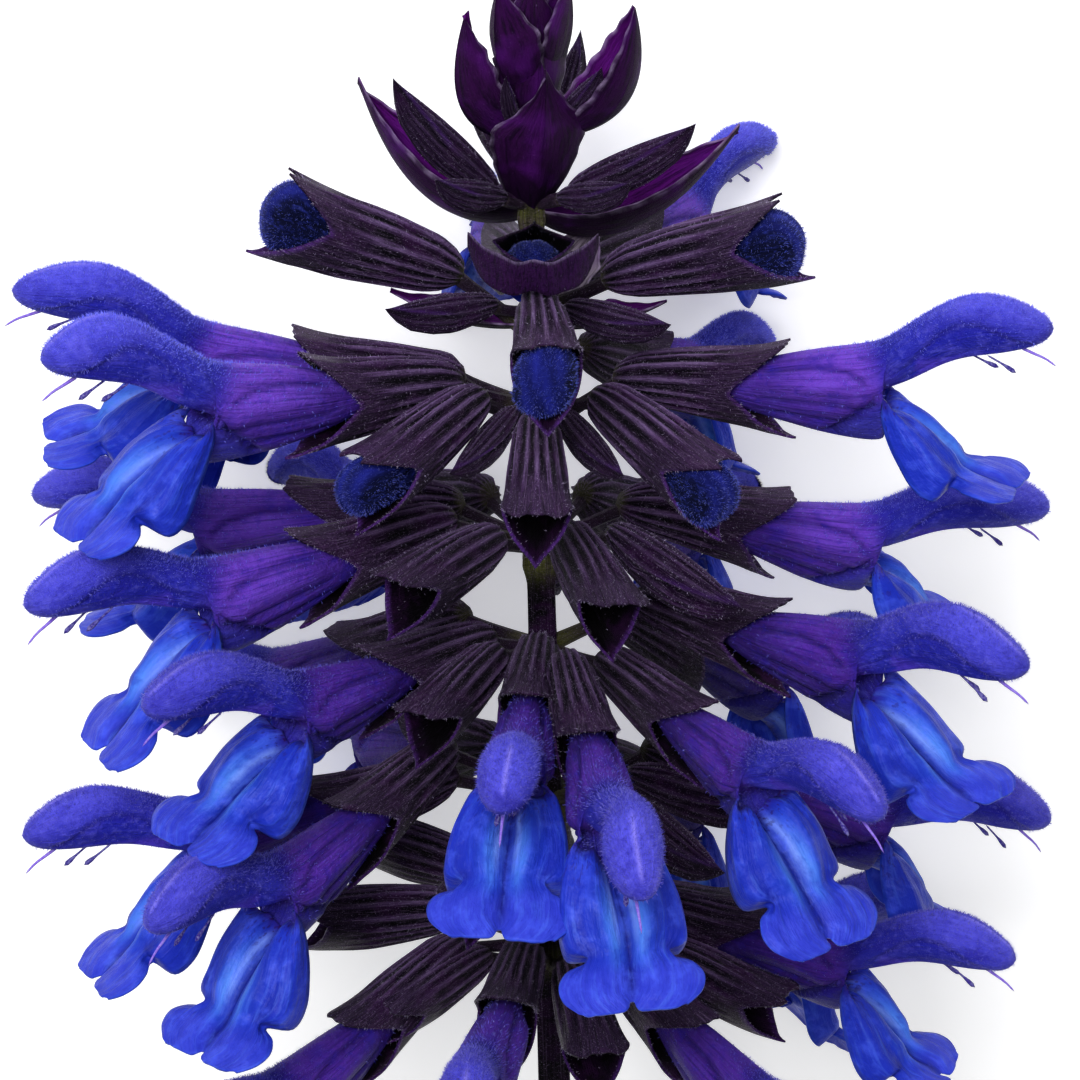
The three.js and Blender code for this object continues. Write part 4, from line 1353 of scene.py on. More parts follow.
def pedicel(one):
    """The stalk of one flower, from the stem's joint to the foot of its calyx."""
    start, turn, foot = one["root"], one["bend"], one["foot"]
    ob = rolled("pedicel", PEDICEL_SIDES, PEDICEL_RINGS)
    thick = 0.55 + 0.45 * one["size"]

    def place(ring, angle):
        t = ring / (PEDICEL_RINGS - 1)
        middle = start * (1 - t) ** 2 + turn * 2 * t * (1 - t) + foot * t * t
        ahead = ((turn - start) * (1 - t) + (foot - turn) * t).normalized()
        flat = ahead.cross(Vector((0.2, 0.9, 0.4))).normalized()
        width = (PEDICEL_RADIUS + PEDICEL_FLARE * (1 - t) ** 3 + PEDICEL_FLARE * t**5) * thick
        if ring in (0, PEDICEL_RINGS - 1):
            width = 0
        return middle + (flat * math.cos(angle) + ahead.cross(flat) * math.sin(angle)) * width

    shape(ob, place)
    close(ob)
    along = kept(ob, "tissue")[:, 0]
    colour = blend_to(all_of(ob, PEDICEL_PURPLE), STEM_GREEN, 0.8 * (1 - step(0.05, 0.4, along)))
    keep_tint(ob, blend_to(colour, CALYX_GREEN, 0.5 * step(0.75, 1, along)))
    smooth_faces(ob)
    return ob


# %% [markdown]
# ## Materials
#
# Plant skin is never one colour. A picture wrapped round each organ would have to be drawn and would
# smear at its ends, so every piece carries its own colours as `tint`, worked out when it was modelled.
# The materials add what is finer than the mesh: streaks that run with the organ, mottling, down and
# relief, all from noise. They read
# `tissue`, how far along and round a point lies, and `grown`, its place in the organ in millimetres,
# so the grain follows each piece wherever it is placed. No two flowers read the same part of the
# noise, because each copy gets a step in both.

# %% Helpers: shader nodes
def add_node(tree, kind, inputs=None, **settings):
    """A node with its settings and inputs; an input is a number, a colour or another node's socket."""
    node = tree.nodes.new("ShaderNode" + kind)
    for name, value in settings.items():
        setattr(node, name, value)
    for name, value in (inputs or {}).items():
        if isinstance(value, bpy.types.NodeSocket):
            tree.links.new(value, node.inputs[name])
        else:
            node.inputs[name].default_value = value
    return node


def calculate(tree, operation, a, b=0.0):
    """One arithmetic step."""
    return add_node(tree, "Math", {0: a, 1: b}, operation=operation).outputs[0]


def ramp(tree, value, low, high, out_low=0.0, out_high=1.0):
    """Maps low..high to out_low..out_high, held at both ends."""
    inputs = {"Value": value, "From Min": low, "From Max": high, "To Min": out_low, "To Max": out_high}
    return add_node(tree, "MapRange", inputs).outputs[0]


def toned(tree, colour, share, other):
    """Mixes a colour towards another."""
    node = tree.nodes.new("ShaderNodeMix")
    node.data_type = "RGBA"
    for socket, value in (("Factor_Float", share), ("A_Color", colour), ("B_Color", other)):
        slot = next(s for s in node.inputs if s.identifier == socket)
        if isinstance(value, bpy.types.NodeSocket):
            tree.links.new(value, slot)
        else:
            slot.default_value = value
    return next(s for s in node.outputs if s.identifier == "Result_Color")


def read(tree, name, output):
    """A kept attribute of the piece."""
    return add_node(tree, "Attribute", attribute_name=name).outputs[output]


def noise(tree, name, stretched, detail=3.0, rough=0.55):
    """Noise over a kept attribute, with its own scale on each axis."""
    place = add_node(tree, "Mapping", {"Vector": read(tree, name, "Vector"), "Scale": stretched})
    inputs = {"Vector": place.outputs[0], "Scale": 1.0, "Detail": detail, "Roughness": rough}
    return add_node(tree, "TexNoise", inputs).outputs[0]


def paint(*rgb):
    """A shader colour from screen values."""
    return (*linear(*rgb), 1)


# %% [markdown]
# All the skins here are soft and matt, so they start from one helper. A value that is the same all
# over the surface is set on the shader's own socket, and only what varies comes in through a link.
# Fine relief is bump: it is too small to show in the outline, and as mesh it would be far too heavy.

# %% Helpers: a soft skin and its relief
SHEEN_ROUGHNESS = 0.45


def skin(name, specular, sheen, sheen_tint=(1, 1, 1, 1), roughness=0.5):
    """A soft material and its Principled shader, with plain values set on the shader's own sockets."""
    material = bpy.data.materials.new(name)
    material.use_nodes = True
    tree = material.node_tree
    shader = tree.nodes["Principled BSDF"]
    shader.inputs["Roughness"].default_value = roughness
    shader.inputs["Specular IOR Level"].default_value = specular
    shader.inputs["Sheen Weight"].default_value = sheen
    shader.inputs["Sheen Roughness"].default_value = SHEEN_ROUGHNESS
    shader.inputs["Sheen Tint"].default_value = sheen_tint
    return material, tree, shader


def relief(tree, shader, height, distance, strength):
    """Bumps the shader by a height; distance is in metres."""
    bump = add_node(tree, "Bump", {"Height": height, "Distance": distance, "Strength": strength})
    tree.links.new(bump.outputs[0], shader.inputs["Normal"])


def summed(tree, *terms):
    """Adds values, each with its own weight."""
    total = 0.0
    for value, weight in terms:
        total = calculate(tree, "ADD", calculate(tree, "MULTIPLY", value, weight), total)
    return total


# %% [markdown]
# The petal of tube and hood is matt and velvety, with dark streaks that run along the tube and pale
# down on the hood. A strong sheen would make velvet quickly, but it turns blue petals grey. Here it
# stays faint, and the noise is stretched along the organ for the streaks. Two ramps along the flower
# keep the streaks on the tube and the pale down on the hood.

# %% Petal material: velvet with streaks along it
def petal_material():
    """Tube and hood."""
    material, tree, shader = skin("petal", 0.12, 0.02, (0.5, 0.5, 1, 1))
    along = add_node(tree, "SeparateXYZ", {0: read(tree, "tissue", "Vector")}).outputs[0]
    streaks = noise(tree, "tissue", (4, 30, 1), 4, 0.62)
    fibres = noise(tree, "tissue", (7, 80, 1), 3, 0.6)
    clouds = noise(tree, "grown", (0.3, 0.5, 0.5), 4, 0.6)
    puckers = noise(tree, "grown", (1.3, 1.7, 1.7), 3, 0.6)
    down = noise(tree, "grown", (8, 9, 9), 2, 0.7)
    on_tube = ramp(tree, along, 0.5, 0.62, 1, 0.3)
    on_hood = ramp(tree, along, 0.42, 0.6, 0.25, 1)
    lines = calculate(tree, "MULTIPLY", ramp(tree, streaks, 0.5, 0.66, 0, 0.55), on_tube)
    colour = toned(tree, read(tree, "tint", "Color"), lines, paint(30, 12, 100))
    lines = calculate(tree, "MULTIPLY", ramp(tree, fibres, 0.54, 0.7, 0, 0.38), on_tube)
    colour = toned(tree, colour, lines, paint(24, 12, 100))
    light = calculate(tree, "MULTIPLY", ramp(tree, clouds, 0.52, 0.7, 0, 0.3), on_hood)
    colour = toned(tree, colour, light, paint(104, 96, 226))
    colour = toned(tree, colour, ramp(tree, clouds, 0.46, 0.34, 0, 0.4), paint(36, 24, 150))
    colour = toned(tree, colour, ramp(tree, puckers, 0.46, 0.34, 0, 0.35), paint(30, 24, 150))
    light = calculate(tree, "MULTIPLY", ramp(tree, puckers, 0.54, 0.68, 0, 0.25), on_hood)
    colour = toned(tree, colour, light, paint(112, 110, 238))
    light = calculate(tree, "MULTIPLY", ramp(tree, down, 0.58, 0.8, 0, 0.35), on_hood)
    colour = toned(tree, colour, light, paint(130, 130, 240))
    tree.links.new(colour, shader.inputs["Base Color"])
    tree.links.new(ramp(tree, clouds, 0.3, 0.7, 0.55, 0.4), shader.inputs["Roughness"])
    height = summed(tree, (lines, -0.6), (streaks, -0.6), (down, 0.4), (clouds, 0.8), (puckers, 0.7))
    relief(tree, shader, height, 0.0006, 0.8)
    return material


PETAL = petal_material()
print("petal:", len(PETAL.node_tree.nodes), "nodes")

# %% [markdown]
# The lip is smoother and brighter than the hood, with fine veins that run out into the end lobe and
# flecks in the throat. Veins could be drawn one by one. Noise that is stretched along the sheet and
# read from its own two shares spreads as the sheet spreads, so the veins fan out by themselves.

# %% Lip material: veins that fan into the end lobe
def lip_material():
    """The lower lip."""
    material, tree, shader = skin("lip", 0.1, 0.02, (0.5, 0.6, 1, 1))
    along = add_node(tree, "SeparateXYZ", {0: read(tree, "tissue", "Vector")}).outputs[0]
    veins = noise(tree, "tissue", (4.2, 13, 1), 4, 0.6)
    fine = noise(tree, "tissue", (8, 36, 1), 3, 0.6)
    clouds = noise(tree, "grown", (0.4, 0.6, 0.6), 4, 0.6)
    spots = noise(tree, "tissue", (26, 22, 1), 2, 0.5)
    lines = ramp(tree, veins, 0.5, 0.7, 0, 0.24)
    colour = toned(tree, read(tree, "tint", "Color"), lines, paint(14, 30, 140))
    colour = toned(tree, colour, ramp(tree, fine, 0.53, 0.7, 0, 0.2), paint(22, 30, 150))
    colour = toned(tree, colour, ramp(tree, veins, 0.46, 0.32, 0, 0.16), paint(90, 132, 244))
    colour = toned(tree, colour, ramp(tree, clouds, 0.5, 0.68, 0, 0.35), paint(74, 98, 238))
    colour = toned(tree, colour, ramp(tree, clouds, 0.46, 0.34, 0, 0.4), paint(18, 36, 160))
    flecks = calculate(tree, "MULTIPLY", ramp(tree, along, 0.02, 0.3, 0.8, 0), ramp(tree, spots, 0.58, 0.64))
    colour = toned(tree, colour, flecks, paint(34, 12, 70))
    tree.links.new(colour, shader.inputs["Base Color"])
    tree.links.new(ramp(tree, clouds, 0.3, 0.7, 0.5, 0.36), shader.inputs["Roughness"])
    relief(tree, shader, summed(tree, (veins, -0.7), (fine, -0.2), (clouds, 1.0)), 0.0005, 0.6)
    return material


LIP_SKIN = lip_material()
print("lip skin:", len(LIP_SKIN.node_tree.nodes), "nodes")

# %% [markdown]
# A calyx is dry and almost black, striped lengthways, finely wrinkled and dusted with pale meal. The
# meal and the pale fibres are weighted by the fourth number kept beside the colour, so the inside of
# a cup stays clean. The specular level is low, because a glossy black skin turns grey under a broad
# light. Pedicels and stem share this skin, as they share the tissue.

# %% Calyx material: dry and finely striped
def calyx_material():
    """Calyces, pedicels and stem."""
    material, tree, shader = skin("calyx_skin", 0.07, 0.0)
    stripes = noise(tree, "tissue", (4, 46, 1), 4, 0.65)
    fine = noise(tree, "tissue", (10, 110, 1), 3, 0.6)
    patches = noise(tree, "grown", (0.3, 0.4, 0.4), 3, 0.6)
    wrinkles = noise(tree, "grown", (2.2, 4.5, 4.5), 3, 0.65)
    meal = noise(tree, "grown", (7, 9, 9), 2, 0.7)
    dust = read(tree, "tint", "Alpha")
    lines = ramp(tree, stripes, 0.46, 0.62, 0, 0.65)
    colour = toned(tree, read(tree, "tint", "Color"), lines, paint(7, 5, 11))
    colour = toned(tree, colour, ramp(tree, patches, 0.5, 0.68, 0, 0.4), paint(64, 26, 78))
    light = calculate(tree, "MULTIPLY", ramp(tree, fine, 0.56, 0.7, 0, 0.4), dust)
    colour = toned(tree, colour, light, paint(136, 112, 154))
    colour = toned(tree, colour, ramp(tree, wrinkles, 0.5, 0.7, 0, 0.5), paint(12, 7, 16))
    light = calculate(tree, "MULTIPLY", ramp(tree, meal, 0.6, 0.76, 0, 0.6), dust)
    colour = toned(tree, colour, light, paint(162, 144, 182))
    tree.links.new(colour, shader.inputs["Base Color"])
    tree.links.new(ramp(tree, patches, 0.3, 0.7, 0.5, 0.36), shader.inputs["Roughness"])
    height = summed(tree, (stripes, -1.0), (fine, 0.3), (wrinkles, -0.9), (meal, 0.4))
    relief(tree, shader, height, 0.0007, 0.9)
    return material


CALYX_SKIN = calyx_material()
print("calyx skin:", len(CALYX_SKIN.node_tree.nodes), "nodes")

# %% [markdown]
# Bracts are thinner than calyces and silkier, with a woven look of darker cells and a magenta flush.
# A translucent shader would suit so thin a leaf, but this dark a tissue lets no light through, and
# the plain skin is quicker and keeps its colour from every side.

# %% Bract material: thin and silky
def bract_material():
    """Bracts and the shut tip."""
    material, tree, shader = skin("bract_skin", 0.05, 0.0)
    weave = noise(tree, "tissue", (4, 8, 1), 5, 0.7)
    wash = noise(tree, "grown", (0.25, 0.3, 0.3), 2, 0.5)
    meal = noise(tree, "grown", (8, 8, 8), 2, 0.7)
    cells = ramp(tree, weave, 0.46, 0.62, 0, 0.75)
    colour = toned(tree, read(tree, "tint", "Color"), cells, paint(12, 4, 20))
    colour = toned(tree, colour, ramp(tree, wash, 0.5, 0.7, 0, 0.4), paint(88, 20, 124))
    colour = toned(tree, colour, ramp(tree, meal, 0.62, 0.82, 0, 0.14), paint(140, 110, 170))
    tree.links.new(colour, shader.inputs["Base Color"])
    tree.links.new(ramp(tree, weave, 0.3, 0.7, 0.6, 0.45), shader.inputs["Roughness"])
    relief(tree, shader, summed(tree, (weave, 1.2), (meal, 0.3)), 0.0006, 0.8)
    return material


BRACT_SKIN = bract_material()
print("bract skin:", len(BRACT_SKIN.node_tree.nodes), "nodes")

# %% [markdown]
# A folded bud is navy velvet, rougher than the open petal, with a nap that brightens in patches. The
# hairs and threads need only their own kept tint, a little mottled. They are far too thin for any
# finish of their own, so one plain material serves them all.

# %% Bud and hair materials
def bud_material():
    """The navy velvet of a folded bud."""
    material, tree, shader = skin("bud_velvet", 0.06, 0.03, (0.3, 0.4, 1, 1), 0.7)
    nap = noise(tree, "grown", (1.2, 3.4, 3.4), 4, 0.65)
    colour = toned(tree, read(tree, "tint", "Color"), ramp(tree, nap, 0.5, 0.72, 0, 0.5), paint(44, 54, 150))
    tree.links.new(colour, shader.inputs["Base Color"])
    relief(tree, shader, nap, 0.0005, 0.8)
    return material


def hair_material():
    """Hairs and threads, in their own tint."""
    material, tree, shader = skin("hair", 0.1, 0.0)
    mottled = ramp(tree, noise(tree, "grown", (5, 5, 5), 1, 0.5), 0.4, 0.7, 0, 0.25)
    colour = toned(tree, read(tree, "tint", "Color"), mottled, paint(190, 190, 240))
    tree.links.new(colour, shader.inputs["Base Color"])
    return material


BUD_VELVET = bud_material()
HAIR = hair_material()
print("velvet and hair:", len(BUD_VELVET.node_tree.nodes), "and", len(HAIR.node_tree.nodes), "nodes")

# %% [markdown]
# Each master gets its one material now, before it is copied, so that every copy carries it along.
# Giving it to the finished flowers would mean sorting out their faces again.

# %% Materials onto the masters
for piece, material in (
    (crown, PETAL), (lip, LIP_SKIN), (threads, HAIR), (open_calyx, CALYX_SKIN), (empty_calyx, CALYX_SKIN),
    (bud_calyx, CALYX_SKIN), (young_calyx, CALYX_SKIN), (closed_calyx, CALYX_SKIN), (folded_bud, BUD_VELVET),
):
    piece.data.materials.clear()
    piece.data.materials.append(material)
print(len(bpy.data.materials), "materials")

# %% [markdown]
# ## Hairs
#
# Salvias are softly hairy: short velvet on the hoods and buds, sparse pale hairs on the calyx ribs.
# A hair particle system would grow them, but it leaves no mesh to keep, and bump shows no fuzz on the
# outline. So each hair is a thin spike with three sides and a foot. Spikes are dealt out over the
# faces by area, more where a weight says so, from a seeded draw, so every run grows the same coat. A
# spike is only four triangles, because there are tens of thousands of them.

# %% Helper: a coat of hairs
SPIKE_SIDES = [(0, 1, 3), (1, 2, 3), (2, 0, 3), (0, 2, 1)]
HAIR_SCATTER = 0.25
HAIR_LENGTHS = (0.55, 1.25)
HAIR_SHADES = (0.7, 1.2)


def coated(ob, count, weight, length, width, lean, colour, seed):
    """Grows spikes on ob where weight is high; lean tips them along the organ."""
    draw = np.random.default_rng(seed)
    ob.data.calc_loop_triangles()
    corners = np.array([t.vertices for t in ob.data.loop_triangles])
    co, normal = points_of(ob), normals_of(ob)
    a, b, c = (co[corners[:, k]] for k in range(3))
    area = np.linalg.norm(np.cross(b - a, c - a), axis=1) / 2
    share = area * weight(co, normal, kept(ob, "tissue"))[corners].mean(1)
    chosen = draw.choice(len(corners), count, p=share / share.sum())
    u, v = draw.random(count), draw.random(count)
    u, v = np.where(u + v > 1, 1 - u, u)[:, None], np.where(u + v > 1, 1 - v, v)[:, None]
    root = a[chosen] * (1 - u - v) + b[chosen] * u + c[chosen] * v
    up = normal[corners[chosen]].mean(1) + draw.normal(0, HAIR_SCATTER, (count, 3)) + np.array(lean)
    up /= np.linalg.norm(up, axis=1, keepdims=True)
    flat = np.cross(up, draw.normal(0, 1, (count, 3)))
    flat /= np.linalg.norm(flat, axis=1, keepdims=True)
    third = np.cross(up, flat)
    tall = length * draw.uniform(*HAIR_LENGTHS, count)[:, None]
    turns = [2 * math.pi * k / 3 for k in range(3)]
    feet = [root + width * (flat * math.cos(q) + third * math.sin(q)) - up * width for q in turns]
    spikes = np.stack([*feet, root + up * tall], 1).reshape(-1, 3)
    faces = np.concatenate([4 * np.arange(count)[:, None] + np.array(side) for side in SPIKE_SIDES])
    mesh = bpy.data.meshes.new("hairs")
    mesh.from_pydata(spikes.tolist(), [], faces.tolist())
    hairs = bpy.data.objects.new("hairs", mesh)
    bpy.context.scene.collection.objects.link(hairs)
    shade = draw.uniform(*HAIR_SHADES, count).repeat(4)[:, None]
    keep(hairs, "tissue", "FLOAT_VECTOR", np.zeros((4 * count, 3)))
    keep_tint(hairs, all_of(hairs, colour) * shade)
    mesh.materials.append(HAIR)
    return joined(ob.name, [ob, hairs])


# %% [markdown]
# Where hairs grow is a matter of the organ. On the hood they stand thick along its crown and thin out
# down its sides, on a calyx they follow the ribs and the rim, and on a bud they cover all that shows.
# A painted mask could say so, but a weight worked out from place and normal needs no painting.

# %% Where hairs grow
def hood_coat(co, normal, tissue):
    """Thick on the hood's crown and behind the neck, thin on the tube, none underneath."""
    x, _, z = co.T
    top = step(0.1, 0.7, normal[:, 2])
    on_top = step(26.5, 29, x) * step(-0.8, 0.2, z - np.interp(x, *zip(*ARCH)))
    return 0.03 + on_top * (0.4 + 0.6 * top) + bell(26, 3.5, x) * top + 0.08 * top


def calyx_coat(co, normal, tissue):
    """Along the ribs, on the back more than below, and at the rim."""
    back = 1.2 - tissue[:, 1]
    return (0.2 + 1.2 * rib_wave(tissue[:, 1] * math.pi)) * back + 3 * step(0.95, 1, tissue[:, 0])


def bud_coat(co, normal, tissue):
    """All over the knob where it shows."""
    return step(11, 14, co[:, 0])


# %% [markdown]
# The masters get their hairs, and not the finished flowers, so that hairs bend and turn with their
# organ. A coat for each copy would be truer, but it would take many times as long. The fewer and
# finer the hairs of a calyx are, the more its ribs show.

# %% Hairs on the masters
HOOD_DOWN = linear(98, 104, 232)
CALYX_DOWN = linear(176, 162, 196)
# The hairs of the young calyx are darkened with its cup, as painted shade.
YOUNG_SHADED_DOWN = CALYX_DOWN * 0.3
BUD_DOWN = linear(58, 72, 180)
# Hairs lean along their organ. Each coat: length and width in millimetres, lean and colour.
ALONG = (0.5, 0, 0)
HOOD_HAIR = (0.32, 0.028, (0.15, 0, 0.1), HOOD_DOWN)
CUP_HAIR = (0.24, 0.016, ALONG, CALYX_DOWN)
YOUNG_HAIR = (0.2, 0.022, ALONG, YOUNG_SHADED_DOWN)
CLOSED_HAIR = (0.22, 0.022, ALONG, CALYX_DOWN)
BUD_HAIR = (0.3, 0.022, (0.4, 0, 0.2), BUD_DOWN)

crown = coated(crown, 3800, hood_coat, *HOOD_HAIR, seed=11)
open_calyx = coated(open_calyx, 800, calyx_coat, *CUP_HAIR, seed=12)
empty_calyx = coated(empty_calyx, 800, calyx_coat, *CUP_HAIR, seed=17)
bud_calyx = coated(bud_calyx, 800, calyx_coat, *CUP_HAIR, seed=15)
young_calyx = coated(young_calyx, 420, calyx_coat, *YOUNG_HAIR, seed=16)
closed_calyx = coated(closed_calyx, 600, calyx_coat, *CLOSED_HAIR, seed=13)
folded_bud = coated(folded_bud, 1800, bud_coat, *BUD_HAIR, seed=14)
print("hood with its coat:", len(crown.data.polygons), "faces")

# %% [markdown]
# ## Placing
#
# No two flowers are alike. Copies that share one mesh would be lighter, but they would all look the
# same, so each has its own mesh and is bent a little before it is placed: the hood nods, the lip hangs
# or lifts, and slow waves run through petals and calyx. The draw is seeded by the flower's number.
# Where a flower lies on the surface, its petals are pressed flat against it.

# %% Helpers: bending and placing a copy
# How high above the floor the pressed petals lie, in millimetres.
SURFACE = 0.03
# Steps in `tissue` and `grown` from flower to flower, so that none reads its neighbour's noise.
TISSUE_STEP = 3.7
GROWN_STEP = 17.3
WAVE_LENGTHS = (16, 34)


def bent(co, pivot, degrees, start, end):
    """Turns points about a sideways axis at pivot, from nothing at start to the whole angle at end."""
    angle = np.radians(degrees) * step(start, end, co[:, 0])
    x, z = co[:, 0] - pivot[0], co[:, 2] - pivot[1]
    turned = co.copy()
    turned[:, 0] = pivot[0] + x * np.cos(angle) + z * np.sin(angle)
    turned[:, 2] = pivot[1] - x * np.sin(angle) + z * np.cos(angle)
    return turned


def swayed(co, seed, size=0.45, start=2.0, full=34.0):
    """Slow waves of about size mm through a flower, growing along it."""
    draw = np.random.default_rng(seed)
    moved = co.copy()
    grow = step(start, full, co[:, 0])[:, None]
    for _ in range(3):
        wave = draw.normal(0, 1, 3)
        wave *= 2 * math.pi / (draw.uniform(*WAVE_LENGTHS) * np.linalg.norm(wave))
        moved += draw.normal(0, 0.5, 3) * size * np.sin(co @ wave + draw.uniform(0, 6))[:, None] * grow
    return moved


def planted(master, name, matrix, number, change=None):
    """A copy of a master with its own mesh, changed and placed in the frame."""
    ob = bpy.data.objects.new(name, master.data.copy())
    bpy.context.scene.collection.objects.link(ob)
    co = points_of(ob)
    if change:
        co = change(co)
    whole = np.array(TO_FRAME @ matrix)
    co = co @ whole[:3, :3].T + whole[:3, 3]
    co[:, 2] = np.maximum(co[:, 2], SURFACE * MM)
    set_points(ob, co)
    keep(ob, "tissue", "FLOAT_VECTOR", kept(ob, "tissue") + np.array([0, 0, TISSUE_STEP * number]))
    keep(ob, "grown", "FLOAT_VECTOR", kept(ob, "grown") + np.array([0, 0, GROWN_STEP * number]))
    return ob


def finished(piece, node):
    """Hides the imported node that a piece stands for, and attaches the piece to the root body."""
    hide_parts(node)
    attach(piece, "root")
    return piece


# %% [markdown]
# An open flower is joined from its tube and hood, its lip and its threads, and stands for one packed
# corolla. A bud stands for its packed bud. Calyces and stalks grow from the stem, so they are gathered
# whorl by whorl, and each whorl becomes one piece. Each copy could go in as it is, but the lower whorls
# get painted shade: their tubes and calyces are darkened, each whorl by its own share.

# %% Flowers onto the stem
HOOD_PIVOT = (25, 2)
THROAT = (25.6, -0.9)
LIP_WAIST_PLACE = (32.5, -8.1)
# The range, in degrees, in which a hood nods, a lip hangs and its end lobe lifts.
NOD = (-4, 4)
HANG = (-7, 2)
LIFT = (-22, 4)
# The knob in the young calyx is smaller, and darkened as painted shade deep in its cup.
YOUNG_KNOB = np.array([0.6, 1.0, 0.72])
YOUNG_KNOB_PAINTED_SHADE = 0.45
# Painted shade on the lower whorls: the share of the colour that tubes and calyces keep.
TUBE_PAINTED_SHADE = {"w2": 1, "w3": 0.95, "w4": 0.8, "w5": 0.45, "w6": 0.52, "w7": 0.45}
CUP_PAINTED_SHADE = {"w0": 1, "w1": 1, "w2": 1, "w3": 1, "w4": 0.85, "w5": 0.7, "w6": 0.65, "w7": 0.6}
CUPS = {"open": open_calyx, "empty": empty_calyx, "bud": bud_calyx, "closed": closed_calyx}
stalk_pieces = {at: [] for at in WHORL_Y}
for number, one in enumerate(FLOWERS):
    draw = random.Random(number)
    nod, hang, lift = draw.uniform(*NOD), draw.uniform(*HANG), draw.uniform(*LIFT)
    matrix, kind, at = one["matrix"], one["kind"], one["at"]
    young = one.get("node") == "bud_w1_1"

    def waves(co):
        return swayed(co, number)

    def hood_change(co):
        return waves(bent(co, HOOD_PIVOT, nod, start=24, end=34))

    def lip_change(co):
        hung = bent(co, THROAT, hang, start=24.5, end=30)
        return waves(bent(hung, LIP_WAIST_PLACE, lift, start=31.5, end=34))

    def knob_change(co):
        return co * YOUNG_KNOB if young else swayed(co, number, size=0.9, start=8, full=16)

    cup = young_calyx if young else CUPS[kind]
    # Painted shade: the cups of the lower whorls, and the tubes of their open flowers, are darkened.
    stalk_pieces[at].append(darkened_as_shade(planted(cup, "cup", matrix, number, waves), CUP_PAINTED_SHADE[at]))
    stalk = pedicel(one)
    stalk.data.materials.append(CALYX_SKIN)
    stalk_pieces[at].append(planted(stalk, "stalk", Matrix.Identity(4), number))
    bpy.data.objects.remove(stalk)
    if kind == "open":
        parts = [
            darkened_as_shade(planted(crown, "crown_copy", matrix, number, hood_change), TUBE_PAINTED_SHADE[at], tube=True),
            planted(lip, "lip_copy", matrix, number, lip_change),
            planted(threads, "threads_copy", matrix, number, hood_change),
        ]
        finished(joined(one["node"].replace("corolla", "bloom"), parts), one["node"])
    elif kind == "bud":
        knob = planted(folded_bud, one["node"].replace("bud", "knob"), matrix, number, knob_change)
        finished(darkened_as_shade(knob, YOUNG_KNOB_PAINTED_SHADE) if young else knob, one["node"])
for master in (crown, lip, threads, folded_bud, young_calyx, *CUPS.values()):
    bpy.data.objects.remove(master)
print(sum(len(pieces) for pieces in stalk_pieces.values()), "cups and stalks wait on their whorls")

# %% [markdown]
# The bracts go to their whorls in the same way. The spike ends in a bud of small scales that still
# wrap each other. They could be placed in rings, but on a growing tip each scale stands a golden angle
# on from the one before, a little higher and smaller, so that no two lie in line.

# %% Bracts and the tip
TIP_SCALES = 9
GOLDEN_ANGLE = 137.5
TIP_FOLD = 0.6
TIP_NUMBER = 40
# Of the first scale, and how much each next one adds: length, width, place on the stem and pitch.
TIP_LENGTH, LENGTH_STEP = 13.5, -0.7
TIP_WIDTH, WIDTH_STEP = 9, -0.6
TIP_Y, Y_STEP = 40, 0.6
TIP_PITCH, PITCH_STEP = 66, 2.4

for number, (at, azimuth, pitch, roll, length, width, boat, shade) in enumerate(BRACTS):
    blade = bract("blade", length, width, boat, shade, number)
    blade.data.materials.append(BRACT_SKIN)
    matrix = pose(stem_point(WHORL_Y[at]), azimuth, pitch, roll)
    stalk_pieces[at].append(planted(blade, "bract", matrix, number))
    bpy.data.objects.remove(blade)
for k in range(TIP_SCALES):
    length, width = TIP_LENGTH + LENGTH_STEP * k, TIP_WIDTH + WIDTH_STEP * k
    shade = "purple" if k % 3 else "magenta"
    blade = bract("scale", length, width, TIP_FOLD, shade, TIP_NUMBER + k)
    blade.data.materials.append(BRACT_SKIN)
    matrix = pose(stem_point(TIP_Y + Y_STEP * k), 180 + GOLDEN_ANGLE * k, TIP_PITCH + PITCH_STEP * k)
    stalk_pieces["w0"].append(planted(blade, "tip_scale", matrix, TIP_NUMBER + k))
    bpy.data.objects.remove(blade)
print(len(BRACTS), "bracts and", TIP_SCALES, "tip scales placed")

# %% [markdown]
# Stem, stalks, calyces and bracts are one grown thing, so all of them stand for the one packed stalk.
# They could be one mesh as well, but a mesh for each whorl is easier to open, and none grows too big.

# %% The stem, and each whorl as one piece
stem_master.data.materials.append(CALYX_SKIN)
finished(planted(stem_master, "square_stem", Matrix.Identity(4), 0), "flower_stalk")
bpy.data.objects.remove(stem_master)
for at, pieces in stalk_pieces.items():
    whorl = finished(joined("whorl_" + at, pieces), "flower_stalk")
    print(whorl.name, len(whorl.data.polygons), "faces")

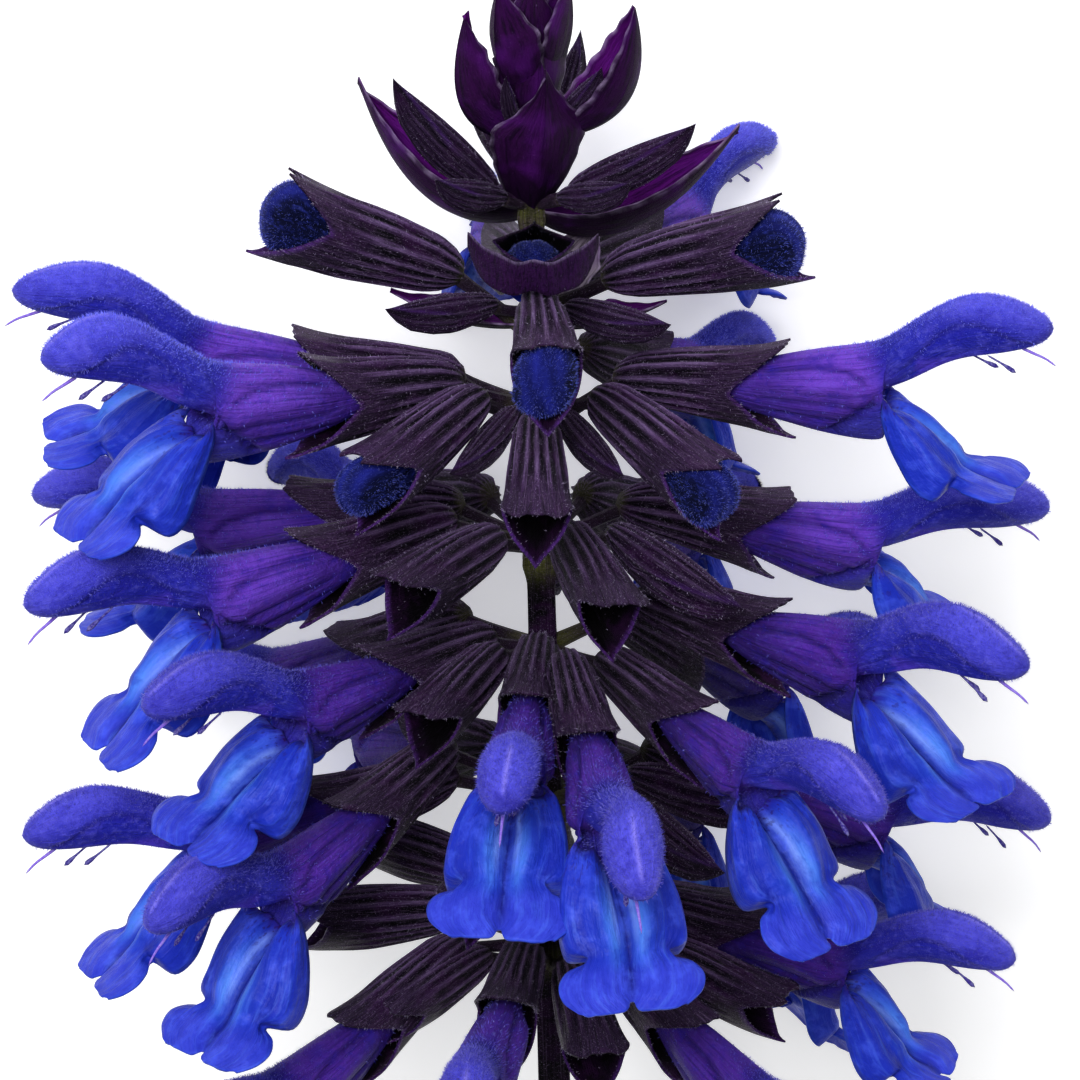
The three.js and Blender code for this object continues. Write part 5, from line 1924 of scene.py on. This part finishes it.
# %% [markdown]
# ## Light and floor
#
# The spike lies on a plain pale floor. Lit from above alone, so dense a spike would darken it between
# the flowers. Stronger lights would bleach the petals, so the floor itself glows a little, like a
# light table, which keeps the shadow soft and leaves the petals as they are.

# %% Floor
FLOOR_SIZE = 4
FLOOR_WHITE = 0.9
FLOOR_GLOW = 0.4

bpy.ops.object.select_all(action="DESELECT")
bpy.ops.mesh.primitive_plane_add(size=FLOOR_SIZE)
floor = bpy.context.object
floor.name = "floor"
floor_material, _, floor_shader = skin("floor", 0.2, 0, roughness=0.9)
floor_shader.inputs["Base Color"].default_value = (FLOOR_WHITE, FLOOR_WHITE, FLOOR_WHITE, 1)
floor_shader.inputs["Emission Color"].default_value = (1, 1, 1, 1)
floor_shader.inputs["Emission Strength"].default_value = FLOOR_GLOW
floor.data.materials.append(floor_material)
print("floor:", FLOOR_SIZE, "m wide")

# %% [markdown]
# A broad soft light stands over the tip end and shines down the spike, so the ribs and hoods are lit
# from above and shaded below. A small lamp would throw hard shadows from flower to flower. A weaker,
# broader light fills from the cut end, and a pale sky lights the rest.

# %% Lights
AIM = Vector((0, 0, 0.04))
KEY_PLACE, KEY_SIZE, KEY_POWER = (-0.14, 0.5, 0.75), 0.4, 9.8
FILL_PLACE, FILL_SIZE, FILL_POWER = (0.3, -0.5, 0.6), 0.8, 1.0
SKY = 0.16


def soft_light(name, place, size, power):
    """A square light at place, in metres, aimed at the middle of the spike."""
    lamp = bpy.data.lights.new(name, "AREA")
    lamp.size, lamp.energy = size, power
    ob = bpy.data.objects.new(name, lamp)
    bpy.context.scene.collection.objects.link(ob)
    ob.location = place
    ob.rotation_euler = (AIM - Vector(place)).to_track_quat("-Z", "Y").to_euler()


soft_light("key", KEY_PLACE, KEY_SIZE, KEY_POWER)
soft_light("fill", FILL_PLACE, FILL_SIZE, FILL_POWER)
world = bpy.data.worlds.new("sky")
world.use_nodes = True
world.node_tree.nodes["Background"].inputs[0].default_value = (1, 1, 1, 1)
world.node_tree.nodes["Background"].inputs[1].default_value = SKY
bpy.context.scene.world = world
bpy.context.scene.view_settings.view_transform = "Standard"
print("key", KEY_POWER, "W, fill", FILL_POWER, "W, sky", SKY)
